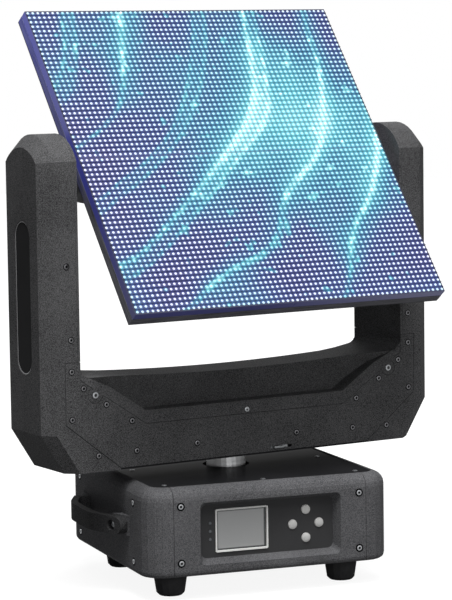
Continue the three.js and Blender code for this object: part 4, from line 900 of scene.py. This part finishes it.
# near-black rings of painted shade round the base's screw heads
set_copies("base_cover_shade_rings", large_shade_ring, base_places, "base", shade_ring_black)
set_copies("top_plate_screws", small_screw, plate_places, "base", bright_steel)
print("base screws:", len(base_places) + len(plate_places))

# %% [markdown]
# ## Screws of the handles
# Each end of a handle has a round eye with a sunk seat. A bright screw sits at its bottom,
# square to the slanting end of the handle.

# %% Handle screws
HANDLE_LEAN = math.radians(25)
EYE_X, EYE_Y, EYE_Z = 153.8, 64, 49.5
SEAT_DEPTH = -1.0  # floor of the seat, from the middle of the handle's thickness


def eye_place(side_x, side_y):
    outward = Vector((side_x * math.cos(HANDLE_LEAN), side_y * math.sin(HANDLE_LEAN), 0))
    middle = Vector((side_x * EYE_X, side_y * EYE_Y, EYE_Z)) * MM
    turn = outward.to_track_quat("Z", "Y").to_matrix().to_4x4()
    return Matrix.Translation(middle + outward * SEAT_DEPTH * MM) @ turn


eye_places = [eye_place(side_x, side_y) for side_x in (-1, 1) for side_y in (-1, 1)]
set_copies("handle_screws", large_screw, eye_places, "base", bright_steel)
print("handle screws:", len(eye_places))
discard(small_screw, large_screw, small_shade_ring, large_shade_ring)

# %% [markdown]
# ## Name badges without a name
# A long badge with round ends sits in a seat on each arm. It starts as a cylinder whose
# two halves are pulled apart; the face is then inset and sunk, so that a fine raised rim
# stays round it. Silver foil covers the rim, and the badge has no lettering.

# %% Shape of a badge
BADGE_WIDTH = 33.0
BADGE_HEIGHT = 162.0
BADGE_THICK = 1.5
BADGE_SIDES = 48
RIM_WIDTH = 0.8
RIM_SLOPE = 0.6
RIM_DEPTH = 0.45
MESH_SLACK = 0.01 * MM  # less than any real step in the mesh


def bare_badge():
    piece = start_piece(
        bpy.ops.mesh.primitive_cylinder_add, vertices=BADGE_SIDES, radius=BADGE_WIDTH / 2 * MM,
        depth=BADGE_THICK * MM, location=(0, 0, BADGE_THICK / 2 * MM),
    )
    for vertex in piece.data.vertices:
        if abs(vertex.co.y) > MESH_SLACK:
            vertex.co.y += math.copysign((BADGE_HEIGHT - BADGE_WIDTH) / 2 * MM, vertex.co.y)
    edit_faces(piece, looks_up)
    bpy.ops.mesh.inset(thickness=RIM_WIDTH * MM)
    bpy.ops.mesh.inset(thickness=RIM_SLOPE * MM)
    bpy.ops.transform.translate(value=(0, 0, -RIM_DEPTH * MM))
    leave_edit()
    top = max(face.center.z for face in piece.data.polygons)
    for face in piece.data.polygons:
        face.material_index = int(looks_up(face) and face.center.z > top - MESH_SLACK)
    bpy.ops.object.shade_smooth_by_angle(angle=math.radians(30))
    return piece


badge = bare_badge()
print("faces of a badge:", len(badge.data.polygons))

# %% [markdown]
# ## The badges in their seats
# The badge was shaped lying down. Each matrix here says where its width, its height and
# its face point once it stands on an arm: the face looks outwards, and the height is up.

# %% Badges on the arms
BADGE_LIFT = 295.5 * MM
BADGE_FLOOR = 246.1 * MM  # bottom of its seat
badge_places = [
    yoke_place @ Matrix.Translation((side * BADGE_FLOOR, 0, BADGE_LIFT))
    @ Matrix(((0, 0, side, 0), (side, 0, 0, 0), (0, 1, 0, 0), (0, 0, 0, 1)))
    for side in (1, -1)
]
set_copies("arm_badges", badge, badge_places, "yoke", badge_foil, badge_rim)
discard(badge)
print("badges:", len(badge_places))

# %% [markdown]
# ## Lamps of the panel
# A lamp is a small cast lens that stands on the mask. One is modelled with a domed top,
# and two array modifiers set 32 by 32 copies of it at the real pitch, one module's worth.
# It is repeated thousands of times, so it has only a few faces.

# %% One module of lamps
LENS_SIDES = 8
LENS_RADIUS = 1.45
LENS_HEIGHT = 0.7
DOME_SHARE = 0.45  # of the radius, from the rim to the dome's flat top
DOME_RISE = 0.35


def lamp_field():
    piece = start_piece(
        bpy.ops.mesh.primitive_cylinder_add, vertices=LENS_SIDES, radius=LENS_RADIUS * MM,
        depth=LENS_HEIGHT * MM, location=(0, 0, LENS_HEIGHT * MM / 2),
    )
    edit_faces(piece, looks_up)
    bpy.ops.mesh.inset(thickness=LENS_RADIUS * MM * DOME_SHARE)
    bpy.ops.transform.translate(value=(0, 0, DOME_RISE * MM))
    leave_edit()
    bpy.ops.object.shade_smooth_by_angle(angle=math.radians(60))
    for axis in (0, 1):
        array = piece.modifiers.new("rows", "ARRAY")
        array.use_relative_offset = False
        array.use_constant_offset = True
        array.constant_offset_displace = [LAMP_PITCH * MM if axis == n else 0 for n in range(3)]
        array.count = LAMPS_PER_MODULE
    apply_all(piece)
    return piece


field_model = lamp_field()
print("faces in a module's lamps:", len(field_model.data.polygons))

# %% [markdown]
# ## The lamps on the four modules
# Each module's lamps are a piece of their own, as a real module is changed with its lamps.
# Every field starts half a pitch inside its module's corner, so the rows run on from one
# module to the next without a wider gap.

# %% Lamps in place
for row, row_word in enumerate(("lower", "upper")):
    for column, column_word in enumerate(("left", "right")):
        corner_x = (column - 1) * FIELD_HALF + LAMP_PITCH / 2
        corner_z = (row - 1) * FIELD_HALF + LAMP_PITCH / 2
        corner = Matrix.Translation((corner_x * MM, MASK_FACE * MM, corner_z * MM)) @ face_front
        set_copies(
            f"lamps_{row_word}_{column_word}", field_model, [head_place @ corner], "head",
            lamp_lens, slot="led_mask",
        )
discard(field_model)
print("lamps set:", 4 * LAMPS_PER_MODULE ** 2)

# %% [markdown]
# ## A white floor that keeps the shadow
# The photograph stands on pure white. The floor is matt grey paint that throws little
# light back up. To the camera and to mirror-like surfaces it adds a glow of its own, so
# that it reads as white while the soft shadow at the feet stays. Far from the object it
# turns into plain white and meets the background without a line.

# %% Floor
FEET = -26 * MM
FLOOR_SIZE = 14
FADE_FROM, FADE_TO = 0.35, 0.9  # metres from the middle
GLOW_NEAR, GLOW_FAR = 0.9, 1.0


def seen_directly(tree):
    rays = add_node(tree, "ShaderNodeLightPath", {}).outputs
    mirrored = add_node(tree, MATH, {
        0: rays["Is Glossy Ray"], 1: rays["Is Transmission Ray"],
    }, operation="MAXIMUM")
    return add_node(tree, MATH, {0: rays["Is Camera Ray"], 1: mirrored}, operation="MAXIMUM")


def white_floor(name):
    material, tree, shader, place = new_material(name, Roughness=0.9)
    speck = add_node(tree, NOISE, {"Vector": place, "Scale": per_mm(40), "Detail": 3.0})
    paint = add_node(tree, RAMP, {"Fac": speck}, stops=[
        (NOISE_LOW, "#5e5e5e"), (NOISE_HIGH, "#666666"),
    ])
    away = add_node(tree, VECTOR_MATH, {0: place}, operation="LENGTH")
    fade = add_node(tree, RANGE, {
        "Value": away, "From Min": FADE_FROM, "From Max": FADE_TO,
        "To Min": GLOW_NEAR, "To Max": GLOW_FAR,
    })
    strength = add_node(tree, MATH, {0: fade, 1: seen_directly(tree)}, operation="MULTIPLY")
    set_inputs(shader, {
        "Base Color": paint, "Emission Color": (1, 1, 1, 1), "Emission Strength": strength,
    })
    return material


floor = start_piece(bpy.ops.mesh.primitive_plane_add, size=FLOOR_SIZE, location=(0, 0, FEET))
floor.name = "floor"
floor.data.materials.append(white_floor("studio_floor_paint"))
print("floor height in m:", FEET)

# %% [markdown]
# ## Soft studio light
# A broad lamp overhead gives the tops the most light. A second one high in front and a
# weak one low in front light the fronts, and one behind draws a pale edge. The sides stay
# dark, as in the photograph, and get their light from the pale room.

# %% Lamps
AIM = Vector((0, 0, 0.3))  # about the middle of the object


def area_light(name, place, size, power):
    light = bpy.data.lights.new(name, "AREA")
    light.shape = "RECTANGLE"
    light.size, light.size_y = size
    light.energy = power
    lamp = bpy.data.objects.new(name, light)
    lamp.location = place
    lamp.rotation_euler = (AIM - Vector(place)).to_track_quat("-Z", "Y").to_euler()
    bpy.context.scene.collection.objects.link(lamp)


area_light("broad_overhead", (-0.45, -0.9, 2.8), (1.4, 1.0), 90)
area_light("broad_top_front", (-0.2, -1.8, 2.4), (1.8, 1.2), 30)
area_light("soft_front", (0.3, -2.6, 0.7), (1.2, 1.0), 13.5)
area_light("back_rim", (0.8, 2.2, 1.8), (1.6, 1.0), 22)
print("lamps of the studio:", len(bpy.data.lights))

# %% [markdown]
# ## The pale room
# The world gives a low, even light from all sides. The camera and mirror-like surfaces see
# plain white there instead, as they do on the floor, and that white lights nothing.

# %% World
world = bpy.data.worlds.new("pale_room")
bpy.context.scene.world = world
world.use_nodes = True
room = world.node_tree
fill = room.nodes["Background"]
set_inputs(fill, {"Color": (0.62, 0.63, 0.65, 1), "Strength": 0.2})
plain = add_node(room, "ShaderNodeBackground", {"Color": (1, 1, 1, 1), "Strength": 1.0})
shown_room = add_node(room, "ShaderNodeMixShader", {0: seen_directly(room), 1: fill, 2: plain})
set_inputs(room.nodes["World Output"], {"Surface": shown_room})
bpy.context.scene.view_settings.view_transform = "Standard"
print("strength of the room's light:", fill.inputs["Strength"].default_value)
